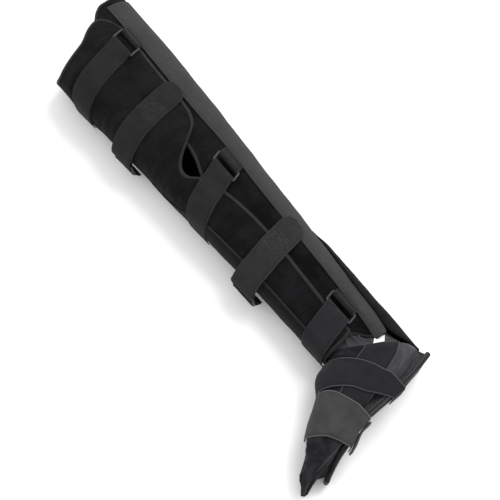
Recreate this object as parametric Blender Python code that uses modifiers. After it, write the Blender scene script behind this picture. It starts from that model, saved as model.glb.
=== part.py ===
"""A long leg splint lying on its back: a padded wrap with an open front and a hole for
the kneecap, a stay pocket down each side, five leg straps that turn back through loops,
and a foot wrap on a sole plate, turned to one side, with three straps of its own.

Metres, +Z up. The leg runs along +X from the thigh to the sole and the toes point to -Y.
The origin is under the middle of the splint, on the surface that it lies on."""

import math

import bmesh
import bpy
from mathutils import Vector

# The leg wrap, measured flat on the table.
WRAP_LENGTH = 0.760
THIGH_WIDTH = 0.216
THIGH_HEIGHT = 0.124
WRAP_WALL = 0.005
END_REACH = 0.1064
ROUNDNESS = 2.4
REST_FLAT = 0.0012
FLAP_GAP = 0.0035
CALF_SINK = 0.003

# The stay pockets down the sides.
STAY_THICKNESS = 0.0015
STAY_SEAT = 0.0012
STAY_RIGHT_WIDTH = 0.058
STAY_LEFT_WIDTH = 0.038
STAY_OVERHANG = 0.024

# Straps, their loops and the tabs that hold the loops.
STRAP_WIDTH = 0.050
STRAP_THICKNESS = 0.002
STRAP_END_RADIUS = 0.019
STRAP_SETTLE = 0.024
LOOP_WIRE = 0.0044
LOOP_SLACK = 0.0011
LOOP_LENGTH = STRAP_WIDTH + 2 * (LOOP_WIRE + LOOP_SLACK)
LOOP_WIDTH = 0.028
LOOP_STAND_REACH = 0.060
TAB_LENGTH = 0.016
LOOP_CORNER = 0.0027
SEAT_GAP = 0.0005

# The foot wrap, its sole plate and the padded panel that joins them to the calf.
HEEL_REACH = 0.090
HEEL_SIDE = 0.0072
FOOT_LENGTH = 0.300
FOOT_HEIGHT = 0.090
FOOT_WALL = 0.0035
FOOT_ROUNDNESS = 2.3
SOLE_ROUNDNESS = 3.4
SOLE_GAP = 0.003
SOLE_START = 0.008
SOLE_LENGTH = 0.256
SOLE_HEIGHT = 0.080
SOLE_THICKNESS = 0.008
BAND_CLEAR = 0.0015
BAND_LIFT = STRAP_THICKNESS + SEAT_GAP + BAND_CLEAR
PANEL_THICKNESS = 0.005
PANEL_SHORT = 0.011

# How finely the sheets are divided.
WRAP_ROWS = 36
WRAP_COLUMNS = 28
FOOT_COLUMNS = 20
STRAP_STEP = 0.010

# Leg sections: share of the wrap's length, of the thigh's width and of its height.
SECTION_NAMES = ("along", "width", "height")
LEG_SECTIONS = (
    (-0.12, 1.020, 1.000),
    (0.00, 1.000, 1.000),
    (0.17, 0.944, 0.968),
    (0.42, 0.824, 0.903),
    (0.55, 0.760, 0.855),
    (0.71, 0.694, 0.790),
    (0.82, 0.660, 0.742),
    (1.00, 0.628, 0.710),
    (1.12, 0.606, 0.700),
)

# The free edges of the front flaps: share of the length, then each edge's angle round
# the leg in degrees, from the right side over the top. The left edge bends round the kneecap.
FLAP_NAMES = ("along", "left", "right")
FLAP_EDGES = (
    (0.00, 64, 108),
    (0.15, 66, 108),
    (0.29, 67, 108),
    (0.33, 69, 104),
    (0.36, 76, 98),
    (0.385, 92, 94),
    (0.41, 110, 95),
    (0.435, 121, 98),
    (0.46, 121, 103),
    (0.485, 110, 108),
    (0.54, 101, 112),
    (0.60, 95, 116),
    (0.68, 92, 118),
    (0.80, 94, 120),
    (0.90, 97, 120),
    (1.00, 97, 120),
)

# Where the right flap has dipped under the left one, and over how many degrees it dips.
DIP_NAMES = ("along", "full", "wide")
DIPS = (
    (0.00, 59, 38),
    (0.29, 62, 38),
    (0.50, 84, 28),
    (1.00, 88, 26),
)

# How far each end of the wrap runs past its plain cut, as a share of the length, by the
# angle round the leg. Angles run down from the right flap, round the back, to the left one.
END_NAMES = ("angle", "thigh", "ankle")
WRAP_ENDS = (
    (-296, 0.024, -0.034),
    (-291, -0.010, -0.034),
    (-285, -0.027, -0.032),
    (-279, -0.033, -0.030),
    (-268, -0.024, -0.022),
    (-250, 0.004, -0.014),
    (-210, 0.020, -0.012),
    (-180, 0.004, -0.012),
    (-130, -0.030, -0.010),
    (-90, -0.050, -0.010),
    (-30, -0.085, 0.000),
    (0, -0.095, 0.010),
    (60, -0.082, 0.024),
    (72, -0.064, 0.024),
    (81, -0.039, 0.012),
    (92, -0.021, -0.010),
    (109, 0.009, -0.020),
    (122, 0.020, -0.024),
)

# The stay pockets: share of the length, the angle of the right pocket's front edge and
# its width, then the same for the left pocket.
STAY_NAMES = ("along", "right_edge", "right_width", "left_edge", "left_width")
STAYS = (
    (-0.07, 59, 1.00, 211, 1.0),
    (0.30, 59, 1.00, 210, 1.0),
    (0.40, 59, 0.92, 202, 1.0),
    (0.48, 60, 0.86, 180, 1.0),
    (0.54, 61, 0.81, 156, 1.0),
    (0.59, 62, 0.77, 147, 1.0),
    (0.70, 63, 0.69, 144, 1.0),
    (0.78, 64, 0.62, 142, 1.0),
    (0.84, 65, 0.53, 142, 1.0),
    (0.90, 67, 0.46, 142, 1.0),
    (0.98, 71, 0.45, 144, 1.0),
    (1.05, 77, 0.36, 146, 1.0),
)

# The panel's two edges: share of the length, then angles round the leg.
PANEL_NAMES = ("along", "front", "back")
PANEL_EDGES = (
    (0.737, 18, -12),
    (0.78, 28, -24),
    (0.84, 40, -36),
    (0.98, 48, -38),
    (1.04, 48, -34),
    (1.075, 34, -30),
    (1.105, 22, -24),
)

# Leg straps: share of the length at the loop, how far the other end lies further down,
# which side the loop is on, the angles of the loop's middle and of the tail's end, how
# far the loop stands off the wrap and its own width, as shares of a loop's full width.
LEG_STRAPS = (
    ("thigh_top", 0.074, 0.058, "right", 73, 196, 0.0, 1.0),
    ("thigh_low", 0.292, -0.036, "left", 188, 60, 0.2, 0.8),
    ("knee", 0.500, 0.042, "right", 78, 196, 0.0, 0.8),
    ("calf", 0.744, -0.028, "left", 184, 50, 0.45, 0.8),
    ("ankle", 0.929, 0.018, "right", 85, 198, 0.0, 0.8),
)

# Foot sections, from the ankle mouth to the toe: the instep point and the sole point as
# shares of the foot's length, from the heel's corner, and the share of the foot's height.
FOOT_NAMES = ("row", "instep_x", "instep_y", "sole_x", "sole_y", "height")
FOOT_SECTIONS = (
    (0, -0.350, -0.412, -0.127, -0.070, 0.87),
    (1, -0.310, -0.445, -0.073, -0.0405, 0.97),
    (2, -0.293, -0.490, -0.016, -0.0405, 0.98),
    (3, -0.277, -0.543, 0.018, -0.108, 1.00),
    (4, -0.246, -0.582, 0.034, -0.215, 1.00),
    (5, -0.195, -0.619, 0.028, -0.330, 1.00),
    (6, -0.151, -0.681, 0.023, -0.440, 0.98),
    (7, -0.106, -0.758, 0.027, -0.560, 0.94),
    (8, -0.047, -0.835, 0.084, -0.690, 0.89),
    (9, 0.016, -0.905, 0.114, -0.800, 0.78),
    (10, 0.078, -0.988, 0.132, -0.890, 0.56),
    (11, 0.137, -1.045, 0.166, -1.000, 0.32),
)

# The foot row where the toe piece is sewn on.
TOE_ROW = 7.5

# The sole plate: share of its length from the heel, how far its outside stands out from
# a straight line as a share of the length, and the share of its height.
SOLE_NAMES = ("along", "out", "height")
SOLE_SECTIONS = (
    (0.00, 0.000, 1.00),
    (0.12, 0.020, 1.00),
    (0.24, 0.032, 1.00),
    (0.40, 0.034, 1.00),
    (0.56, 0.034, 0.98),
    (0.66, 0.044, 0.94),
    (0.75, 0.084, 0.86),
    (0.85, 0.112, 0.72),
    (0.90, 0.130, 0.60),
    (0.95, 0.152, 0.46),
    (1.00, 0.178, 0.36),
)

# Foot straps: the angle round the foot, from the sole side over the top, and the foot
# rows of the band's two edges there.
BAND_NAMES = ("angle", "first", "last")
INSTEP_BAND = (
    (0, 4.35, 5.1),
    (60, 3.7, 5.3),
    (100, 2.5, 4.8),
    (134, 1.6, 4.7),
    (172, 1.5, 5.0),
)
FOREFOOT_BAND = (
    (0, 6.6, 8.0),
    (44, 6.45, 8.1),
    (94, 5.7, 7.9),
    (134, 5.0, 7.9),
    (180, 5.2, 7.9),
)
# Where these bands end down the sole plate, as a share of its height, and the forefoot
# loop's middle, as shares of the plate's length and height.
BAND_FOOT_SHARE = 0.45
FOREFOOT_LOOP_SHARES = (0.685, 0.725)
# The strap along the foot: its row and the angles of its two edges there.
CROSS_NAMES = ("row", "near", "far")
CROSS_BAND = (
    (0.5, 50, 98),
    (1.5, 62, 109),
    (2.5, 66, 112),
    (3.5, 66, 112),
    (4.5, 60, 112),
    (5.5, 52, 114),
    (6.5, 40, 116),
)


def start_clean():
    for obj in list(bpy.data.objects):
        bpy.data.objects.remove(obj)


def collection(name):
    made = bpy.data.collections.new(name)
    bpy.context.scene.collection.children.link(made)
    return made


def material(name, colour, roughness, metallic=0.0):
    made = bpy.data.materials.new(name)
    made.use_nodes = True
    shader = made.node_tree.nodes["Principled BSDF"]
    shader.inputs["Base Color"].default_value = (*colour, 1.0)
    shader.inputs["Roughness"].default_value = roughness
    shader.inputs["Metallic"].default_value = metallic
    return made


def through(table, names, column, at):
    """The value of a column at a place between a table's rows, on a smooth curve."""
    places = [row[0] for row in table]
    values = [row[names.index(column)] for row in table]
    if at <= places[0]:
        return values[0]
    if at >= places[-1]:
        return values[-1]
    k = max(i for i in range(len(places) - 1) if places[i] <= at)
    slopes = []
    for i in (k, k + 1):
        low, high = max(i - 1, 0), min(i + 1, len(places) - 1)
        slopes.append((values[high] - values[low]) / (places[high] - places[low]))
    step = places[k + 1] - places[k]
    t = (at - places[k]) / step
    return (
        (2 * t**3 - 3 * t**2 + 1) * values[k]
        + (t**3 - 2 * t**2 + t) * step * slopes[0]
        + (3 * t**2 - 2 * t**3) * values[k + 1]
        + (t**3 - t**2) * step * slopes[1]
    )


def ease(t):
    t = min(max(t, 0.0), 1.0)
    return t * t * (3 - 2 * t)


def ring_point(angle, roundness):
    """A point on a squarish ring of half width and half height 1."""
    c, s = math.cos(angle), math.sin(angle)
    reach = (abs(c) ** roundness + abs(s) ** roundness) ** (-1 / roundness)
    return c * reach, s * reach


def leg_half(along):
    """Half the width and half the height of the leg at a share of the wrap's length."""
    width = THIGH_WIDTH * through(LEG_SECTIONS, SECTION_NAMES, "width", along)
    height = THIGH_HEIGHT * through(LEG_SECTIONS, SECTION_NAMES, "height", along)
    return width / 2, height / 2


def flap_sink(along, angle):
    """How deep the right flap dips, so that it lies under the left one."""
    full = through(DIPS, DIP_NAMES, "full", along)
    wide = through(DIPS, DIP_NAMES, "wide", along)
    calf = ease((along - 0.42) / 0.12)
    depth = WRAP_WALL + FLAP_GAP + CALF_SINK * calf
    return depth * ease((angle - full + wide) / wide)


def leg_point(x, angle, lift=0.0, sunk=True):
    """A place on the leg wrap's outside. The angle is in degrees, 0 on the right side and
    90 on top. Angles under -180 are on the left flap, which never dips."""
    along = x / WRAP_LENGTH
    half_width, half_height = leg_half(along)
    a = math.radians(angle)
    y, z = ring_point(a, ROUNDNESS)
    step = math.radians(0.5)
    y0, z0 = ring_point(a - step, ROUNDNESS)
    y1, z1 = ring_point(a + step, ROUNDNESS)
    normal = Vector((0, (z1 - z0) * half_height, -(y1 - y0) * half_width)).normalized()
    lift -= flap_sink(along, angle) if sunk and angle > 0 else 0.0
    place = Vector((x, half_width * y, half_height * (1 + z) - REST_FLAT)) + normal * lift
    place.z = max(place.z, min(lift, 0.0))
    return place


def sheet(name, columns, rows, place, thickness, offset, finish, target, closed=False):
    """A grid whose vertices are put in place by a function of two shares, then thickened."""
    shape = bmesh.new()
    bmesh.ops.create_grid(shape, x_segments=columns, y_segments=rows, size=0.5)
    for vertex in shape.verts:
        vertex.co = place(vertex.co.x + 0.5, vertex.co.y + 0.5)
    if closed:
        bmesh.ops.remove_doubles(shape, verts=shape.verts, dist=1e-5)
    mesh = bpy.data.meshes.new(name)
    shape.to_mesh(mesh)
    shape.free()
    mesh.shade_smooth()
    mesh.set_sharp_from_angle(angle=math.radians(40))
    mesh.materials.append(finish)
    made = bpy.data.objects.new(name, mesh)
    target.objects.link(made)
    shell = made.modifiers.new("thickness", "SOLIDIFY")
    shell.thickness = thickness
    shell.offset = offset
    shell.use_even_offset = True
    return made


def tube(name, points, diameter, finish, target, cyclic=False):
    """A round wire through a list of points."""
    curve = bpy.data.curves.new(name, "CURVE")
    curve.dimensions = "3D"
    curve.bevel_depth = diameter / 2
    curve.bevel_resolution = 1
    curve.use_fill_caps = not cyclic
    line = curve.splines.new("POLY")
    line.points.add(len(points) - 1)
    for point, place in zip(line.points, points):
        point.co = (*place, 1)
    line.use_cyclic_u = cyclic
    curve.materials.append(finish)
    made = bpy.data.objects.new(name, curve)
    target.objects.link(made)
    return made


def wrap_place(u, v):
    """The wrap's outside: u runs from the left flap's edge round the back to the right's."""
    left = through(FLAP_EDGES, FLAP_NAMES, "left", v) - 360
    right = through(FLAP_EDGES, FLAP_NAMES, "right", v)
    angle = left + (right - left) * u
    reach = END_REACH / WRAP_LENGTH
    thigh = through(WRAP_ENDS, END_NAMES, "thigh", angle) * (1 - ease(v / reach))
    ankle = through(WRAP_ENDS, END_NAMES, "ankle", angle) * ease((v - 1) / reach + 1)
    return leg_point((v + thigh + ankle) * WRAP_LENGTH, angle)


def leg_wrap(foam, target):
    return sheet(
        "leg_wrap", WRAP_COLUMNS, WRAP_ROWS, wrap_place, WRAP_WALL, -1, foam, target
    )


def arc_angle(x, start, length, turn):
    """The angle reached by going a length round the leg from a start angle."""
    angle, gone = start, 0.0
    last = leg_point(x, angle, sunk=False)
    while gone < length:
        angle += turn
        here = leg_point(x, angle, sunk=False)
        gone += (here - last).length
        last = here
    return angle


def stay_edge(side, along):
    """The angle of a stay pocket's front edge at a share of the wrap's length."""
    return through(STAYS, STAY_NAMES, f"{side}_edge", along)


def stay(side, fabric, target):
    """A flat pocket down one side of the wrap, with the stay inside it."""
    right = side == "right"
    first = -0.062 if right else 0.020
    last = 1.0 + STAY_OVERHANG / WRAP_LENGTH if right else 0.980
    width = STAY_RIGHT_WIDTH if right else STAY_LEFT_WIDTH

    def place(u, v):
        along = first + (last - first) * v
        x = along * WRAP_LENGTH
        edge = stay_edge(side, along)
        wide = width * through(STAYS, STAY_NAMES, f"{side}_width", along)
        far = arc_angle(x, edge, wide, -1.0 if right else 1.0)
        angle = edge + (far - edge) * u
        return leg_point(x, angle, STAY_SEAT + STAY_THICKNESS / 2, sunk=right)

    return sheet(f"stay_pocket_{side}", 4, 34, place, STAY_THICKNESS, 0, fabric, target)


def rounded_loop(length, width, corner, steps=3):
    """The middle line of a rounded rectangle, as pairs of numbers."""
    line = []
    for turn, (cx, cy) in enumerate(((1, 1), (-1, 1), (-1, -1), (1, -1))):
        for k in range(steps + 1):
            a = math.pi / 2 * (turn + k / steps)
            p = cx * (length / 2 - corner) + corner * math.cos(a)
            q = cy * (width / 2 - corner) + corner * math.sin(a)
            line.append((p, q))
    return line


# Heights over what carries them: a strap's lower layer, the loop's wire, the layer that
# comes back over it, and that layer again where it lies on the lower one.
LOWER = SEAT_GAP + STRAP_THICKNESS / 2
WIRE = SEAT_GAP * 2 + STRAP_THICKNESS + LOOP_WIRE / 2
UPPER = SEAT_GAP * 3 + STRAP_THICKNESS * 1.5 + LOOP_WIRE
STACKED = LOWER + STRAP_THICKNESS + SEAT_GAP
BEND = (UPPER - LOWER) / 2


def spread(first, last, step):
    """Even places from one number to another, no further apart than a step."""
    count = max(1, math.ceil(abs(last - first) / step))
    return [first + (last - first) * k / count for k in range(count + 1)]


def hairpin(bar, far_low, far_high, sign, turns=8):
    """A band's path, as lengths round the leg and heights: in low to the loop's bar, round
    it and back on top. Sign is the way back."""
    path = [(length, LOWER) for length in spread(far_low, bar, STRAP_STEP)]
    for k in range(1, turns):
        a = math.pi * k / turns
        path.append((bar - sign * BEND * math.sin(a), LOWER + BEND * (1 - math.cos(a))))
    settled = bar + sign * min(STRAP_SETTLE, abs(far_high - bar) * 0.8)
    for k in range(4):
        t = k / 4
        path.append((bar + (settled - bar) * t, UPPER + (STACKED - UPPER) * ease(t)))
    path += [(length, STACKED) for length in spread(settled, far_high, STRAP_STEP)]
    return path


def rounded_end(path):
    """Adds places to a path's last stretch, so that its end can be rounded."""
    last, height = path[-1]
    before = path[-2][0]
    way = 1 if last > before else -1
    kept = [place for place in path[:-1] if way * (last - place[0]) > STRAP_END_RADIUS]
    for share in (1.0, 0.7, 0.42, 0.2, 0.06, 0.0):
        kept.append((last - way * STRAP_END_RADIUS * share, height))
    return kept


def girth(x):
    """Length round the leg by whole degrees, from the right side over the top."""
    table, gone, last = [], 0.0, leg_point(x, 0, sunk=False)
    for k in range(250):
        here = leg_point(x, k, sunk=False)
        gone += (here - last).length
        table.append(gone)
        last = here
    return table


def length_at(table, angle):
    """The length round the leg at an angle in degrees."""
    k = int(angle)
    return table[k] + (table[k + 1] - table[k]) * (angle - k)


def angle_at(table, length):
    """The angle in degrees where a girth table reaches a length."""
    length = max(length, 0.0)
    k = max(i for i in range(len(table) - 1) if table[i] <= length)
    return k + (length - table[k]) / (table[k + 1] - table[k])


def over_stay(x, angle):
    """How much higher a strap runs where it crosses the left stay pocket."""
    along = x / WRAP_LENGTH
    edge = stay_edge("left", along)
    return (STAY_THICKNESS + STAY_SEAT) * ease((angle - edge + 7) / 4)


def band(name, path, x_at, rise, table, fabric, target, rounded=False):
    """A strap along a path of lengths round the leg and heights over it."""
    end = len(path) - 1
    stop = path[-1][0]

    def place(u, v):
        length, height = path[min(round(u * end), end)]
        half = STRAP_WIDTH / 2
        if rounded and u > 0.5 and abs(stop - length) < STRAP_END_RADIUS:
            short = 1 - abs(stop - length) / STRAP_END_RADIUS
            half -= STRAP_END_RADIUS * (1 - math.sqrt(max(1 - short * short, 0.0)))
        x = x_at(length) + (v * 2 - 1) * half
        return leg_point(x, angle_at(table, length), height + rise(length), sunk=False)

    return sheet(name, end, 1, place, STRAP_THICKNESS, 0, fabric, target)


def leg_strap(row, webbing, plastic, target):
    """One leg strap with its loop and the tab that holds the loop."""
    name, share, skew, side, loop_at, tail_at, stand, loop_share = row
    x_loop = share * WRAP_LENGTH
    x_far = x_loop + skew * WRAP_LENGTH
    table = girth(x_loop)
    right = side == "right"
    sign = 1 if right else -1
    middle = length_at(table, loop_at)
    wide = LOOP_WIDTH * loop_share - LOOP_WIRE
    reach = wide / 2
    clear = SEAT_GAP * 5
    if right:
        x_low = x_far + STRAP_WIDTH / 2
        far = length_at(table, stay_edge("left", x_low / WRAP_LENGTH)) - clear
        held = length_at(table, stay_edge("right", share)) + clear
    else:
        far = length_at(table, stay_edge("right", x_far / WRAP_LENGTH)) + clear
        held = middle + reach + TAB_LENGTH

    def x_at(length):
        return x_loop + (x_far - x_loop) * (length - middle) / (far - middle)

    def rise(length):
        if right:
            return 0.0
        away = max(0.0, 1 - abs(length - middle) / LOOP_STAND_REACH)
        lifted = stand * LOOP_WIDTH * ease(away)
        return lifted + over_stay(x_at(length), angle_at(table, length))

    path = hairpin(middle + sign * reach, far, length_at(table, tail_at), sign)
    path = path if right else rounded_end(path)
    band(f"strap_{name}", path, x_at, rise, table, webbing, target, not right)
    line = []
    for p, q in rounded_loop(LOOP_LENGTH - LOOP_WIRE, wide, LOOP_CORNER):
        length = middle + q
        lift = WIRE + rise(length)
        x = x_at(length) + p
        line.append(leg_point(x, angle_at(table, length), lift, sunk=False))
    tube(f"loop_{name}", line, LOOP_WIRE, plastic, target, cyclic=True)
    tab = hairpin(middle - sign * reach, held, held, -sign)
    band(f"tab_{name}", tab, x_at, rise, table, webbing, target)


def heel_corner():
    """The foot's heel corner, past the wrap's end and beside it."""
    return Vector((WRAP_LENGTH + HEEL_REACH, leg_half(1.0)[0] + HEEL_SIDE, 0))


def foot_value(column, row):
    return through(FOOT_SECTIONS, FOOT_NAMES, column, row)


def foot_point(row, angle, lift=0.0):
    """A place on the foot wrap's outside. Rows run from the ankle mouth to the toe and the
    angle from the sole side, over the top, to the instep side."""
    heel = heel_corner()
    ends = []
    for side in ("instep", "sole"):
        x = foot_value(f"{side}_x", row)
        y = foot_value(f"{side}_y", row)
        ends.append(heel + Vector((x, y, 0)) * FOOT_LENGTH)
    half = (ends[1] - ends[0]) / 2
    tall = FOOT_HEIGHT * foot_value("height", row) / 2
    squarish = SOLE_ROUNDNESS if math.cos(math.radians(angle)) > 0 else FOOT_ROUNDNESS
    c, s = ring_point(math.radians(angle), squarish)
    c0, s0 = ring_point(math.radians(angle - 0.5), squarish)
    c1, s1 = ring_point(math.radians(angle + 0.5), squarish)
    normal = half.normalized() * (s1 - s0) * tall
    normal += Vector((0, 0, -(c1 - c0) * half.length))
    place = (ends[0] + ends[1]) / 2 + half * c
    place.z = tall * (1 + s) - REST_FLAT
    place += normal.normalized() * lift
    place.z = max(place.z, min(lift, 0.0))
    return place


def foot_wrap(foam, target):
    """The foot wrap and, from under the forefoot strap on, its toe piece."""
    apart = SEAT_GAP * len(FOOT_SECTIONS) / FOOT_LENGTH
    pieces = (
        ("foot_wrap", 0, TOE_ROW),
        ("toe_wrap", TOE_ROW + apart, FOOT_SECTIONS[-1][0]),
    )
    for name, first, last in pieces:

        def place(u, v):
            return foot_point(first + (last - first) * v, u * 360 - 90)

        rows = round(2 * (last - first))
        sheet(name, FOOT_COLUMNS, rows, place, FOOT_WALL, -1, foam, target, True)


def sole_point(along, height, out=0.0):
    """A place on the sole plate's outside, by shares of its length and of its height
    there. Out is how far the place stands off it, and past its upper edge too."""
    x = through(SOLE_SECTIONS, SOLE_NAMES, "out", along) * SOLE_LENGTH
    x += SOLE_GAP + SOLE_THICKNESS + out
    tall = SOLE_HEIGHT * through(SOLE_SECTIONS, SOLE_NAMES, "height", along)
    return heel_corner() + Vector((x, -SOLE_START - along * SOLE_LENGTH, height * tall))


def sole_plate(foam, target):
    def place(u, v):
        return sole_point(u, v, -SOLE_THICKNESS / 2)

    plate = sheet("sole_plate", 14, 1, place, SOLE_THICKNESS, 0, foam, target)
    return plate


def calf_panel(foam, target):
    """The padded panel from the calf to the heel, outside the wrap and under the stay
    pocket's edge, that carries the foot wrap and the sole plate."""
    start = PANEL_EDGES[0][0] * WRAP_LENGTH
    stop = heel_corner().x - PANEL_SHORT

    def place(u, v):
        x = start + (stop - start) * v
        along = x / WRAP_LENGTH
        wide = STAY_RIGHT_WIDTH * through(STAYS, STAY_NAMES, "right_width", along)
        under = arc_angle(x, stay_edge("right", along), wide + 5 * SEAT_GAP, -1.0)
        front = min(under, through(PANEL_EDGES, PANEL_NAMES, "front", along))
        back = through(PANEL_EDGES, PANEL_NAMES, "back", along)
        angle = back + (front - back) * u
        return leg_point(x, angle, STAY_SEAT + PANEL_THICKNESS / 2)

    return sheet("calf_panel", 7, 12, place, PANEL_THICKNESS, 0, foam, target)


def foot_band(name, rows, webbing, target):
    """A strap over the foot: up the sole plate, over the top and down the instep."""
    lift = LOWER + BAND_LIFT
    angles = spread(58, 202, 9)
    count = len(angles) + 2

    def place(u, v):
        k = round(u * count)
        angle = 0 if k < 3 else angles[k - 3]
        first = through(rows, BAND_NAMES, "first", angle)
        row = first + (through(rows, BAND_NAMES, "last", angle) - first) * v
        if k >= 3:
            return foot_point(row, angle, lift)
        forward = -SOLE_START - foot_value("sole_y", row) * FOOT_LENGTH
        height = 1.0 if k else BAND_FOOT_SHARE
        point = sole_point(forward / SOLE_LENGTH, height, lift)
        point.z += (0, -LOWER, lift)[k]
        point.x -= LOWER if k == 2 else 0.0
        return point

    return sheet(f"strap_{name}", count, 2, place, STRAP_THICKNESS, 0, webbing, target)


def forefoot_loop(plastic, target):
    """The loop that the forefoot strap runs through, against the sole plate's outside."""
    lift = LOWER + BAND_LIFT + STRAP_THICKNESS / 2 + 2 * SEAT_GAP + LOOP_WIRE / 2
    middle, up = FOREFOOT_LOOP_SHARES
    wide = LOOP_WIDTH * 0.8 - LOOP_WIRE
    long = LOOP_LENGTH - LOOP_WIRE
    line = []
    for p, q in rounded_loop(long, wide, LOOP_CORNER):
        point = sole_point(middle - p / SOLE_LENGTH, 0, lift)
        line.append(point + Vector((0, 0, up * SOLE_HEIGHT + q)))
    return tube("loop_forefoot", line, LOOP_WIRE, plastic, target, cyclic=True)


def cross_strap(webbing, target):
    """The strap that runs along the top of the foot, under the other two."""
    first, last = CROSS_BAND[0][0], CROSS_BAND[-1][0]

    def place(u, v):
        row = first + (last - first) * v
        near = through(CROSS_BAND, CROSS_NAMES, "near", row)
        far = through(CROSS_BAND, CROSS_NAMES, "far", row)
        return foot_point(row, near + (far - near) * u, LOWER + 2 * SEAT_GAP)

    return sheet("strap_cross", 5, 12, place, STRAP_THICKNESS, 0, webbing, target)


def settle(target):
    """Puts the origin under the middle of everything, on the surface that it lies on."""
    graph = bpy.context.evaluated_depsgraph_get()
    places = []
    for obj in target.objects:
        solid = obj.evaluated_get(graph)
        places += [vertex.co.copy() for vertex in solid.to_mesh().vertices]
        solid.to_mesh_clear()
    low = Vector(min(p[i] for p in places) for i in range(3))
    high = Vector(max(p[i] for p in places) for i in range(3))
    root = bpy.data.objects.new("splint_frame", None)
    for obj in target.objects:
        obj.parent = root
    target.objects.link(root)
    root.location = (-(low.x + high.x) / 2, -(low.y + high.y) / 2, -low.z)


def build():
    start_clean()
    target = collection("leg_splint")
    foam = material("black_laminate", (0.012, 0.012, 0.014), 0.85)
    fabric = material("charcoal_loop_fabric", (0.045, 0.045, 0.047), 0.95)
    webbing = material("strap_fabric", (0.030, 0.030, 0.032), 0.9)
    plastic = material("black_plastic", (0.030, 0.030, 0.032), 0.4)
    leg_wrap(foam, target)
    stay("right", fabric, target)
    stay("left", fabric, target)
    for row in LEG_STRAPS:
        leg_strap(row, webbing, plastic, target)
    foot_wrap(foam, target)
    sole_plate(foam, target)
    calf_panel(foam, target)
    cross_strap(webbing, target)
    foot_band("instep", INSTEP_BAND, webbing, target)
    foot_band("forefoot", FOREFOOT_BAND, webbing, target)
    forefoot_loop(plastic, target)
    settle(target)


build()
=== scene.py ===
# %% [markdown]
# # A long leg splint
#
# The splint lies on its back, open side up. Its parts are soft: a foam wrap, webbing
# straps and a fabric foot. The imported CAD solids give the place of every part. They are
# plain, so each soft one is made again here from the same sections, with finer meshes,
# bindings and a woven or brushed finish.

import math

import bmesh
import bpy
from mathutils import Matrix, Vector, noise


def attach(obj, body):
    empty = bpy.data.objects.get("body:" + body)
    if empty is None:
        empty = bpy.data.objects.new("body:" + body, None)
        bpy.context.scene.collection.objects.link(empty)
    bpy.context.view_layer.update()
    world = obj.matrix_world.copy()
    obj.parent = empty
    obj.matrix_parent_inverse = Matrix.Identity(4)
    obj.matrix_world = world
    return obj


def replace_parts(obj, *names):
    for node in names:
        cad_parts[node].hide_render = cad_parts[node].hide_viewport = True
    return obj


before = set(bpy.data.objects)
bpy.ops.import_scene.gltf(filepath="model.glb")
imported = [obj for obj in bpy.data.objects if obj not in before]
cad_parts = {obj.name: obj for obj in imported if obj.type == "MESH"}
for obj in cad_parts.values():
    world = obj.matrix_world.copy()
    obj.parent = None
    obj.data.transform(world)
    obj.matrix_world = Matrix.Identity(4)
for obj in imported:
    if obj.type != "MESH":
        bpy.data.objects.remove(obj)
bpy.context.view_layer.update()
print("solids in the frame:", len(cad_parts))

# %% [markdown]
# ## Numbers that follow the solids
#
# The tables hold shares of the wrap's and the foot's sizes, row by row along the part.
# A smooth curve through the rows gives the value anywhere between them, so the fine
# meshes lie exactly where the plain solids lie.

# %% Sizes
# Lengths are in metres, with x from the thigh's edge. SHIFT takes places to the packed
# part's frame.
SHIFT = Vector((-0.417061, 0.064513, 0))
WRAP_LENGTH = 0.760
THIGH_WIDTH, THIGH_HEIGHT = 0.216, 0.124
WRAP_WALL = 0.005
END_REACH = 0.1064
ROUNDNESS = 2.4
REST_FLAT = 0.0012
FLAP_GAP = 0.0035
CALF_SINK = 0.003
STAY_THICKNESS, STAY_SEAT = 0.0015, 0.0012
STAY_WIDTH = {"right": 0.058, "left": 0.038}
STAY_OVERHANG = 0.024
STRAP_WIDTH, STRAP_THICKNESS = 0.050, 0.002
STRAP_END_RADIUS = 0.019
STRAP_SETTLE = 0.024
LOOP_LENGTH, LOOP_WIDTH, LOOP_WIRE = 0.061, 0.028, 0.0044
LOOP_CORNER = 0.0027
LOOP_STAND_REACH = 0.060
TAB_LENGTH = 0.016
SEAT_GAP = 0.0005
CLEARANCE = 5 * SEAT_GAP
HEEL = Vector((0.850, 0.075024, 0))
FOOT_LENGTH, FOOT_HEIGHT, FOOT_WALL = 0.300, 0.090, 0.0035
FOOT_ROUNDNESS, SOLE_ROUNDNESS = 2.3, 3.4
SOLE_GAP, SOLE_START = 0.003, 0.008
SOLE_LENGTH, SOLE_HEIGHT, SOLE_THICKNESS = 0.256, 0.080, 0.008
BAND_LIFT = 0.004
PANEL_THICKNESS = 0.005
PANEL_SHORT = 0.011

# %% Tables of sections
# Angles are in degrees from the right side over the top. "at" is a share of the length,
# an angle, or a row of the foot, which has twelve from the ankle to the toe.
LEG_SECTIONS = {
    "at": (-0.12, 0.00, 0.17, 0.42, 0.55, 0.71, 0.82, 1.00, 1.12),
    "width": (1.020, 1.000, 0.944, 0.824, 0.760, 0.694, 0.660, 0.628, 0.606),
    "height": (1.000, 1.000, 0.968, 0.903, 0.855, 0.790, 0.742, 0.710, 0.700),
}
FLAP_EDGES = {
    "at": (0, 0.15, 0.29, 0.33, 0.36, 0.385, 0.41, 0.435, 0.46, 0.485, 0.54, 0.60, 0.68, 0.80,
           0.90, 1),
    "left": (64, 66, 67, 69, 76, 92, 110, 121, 121, 110, 101, 95, 92, 94, 97, 97),
    "right": (108, 108, 108, 104, 98, 94, 95, 98, 103, 108, 112, 116, 118, 120, 120, 120),
}
DIPS = {"at": (0, 0.29, 0.50, 1.0), "full": (59, 62, 84, 88), "wide": (38, 38, 28, 26)}
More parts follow.
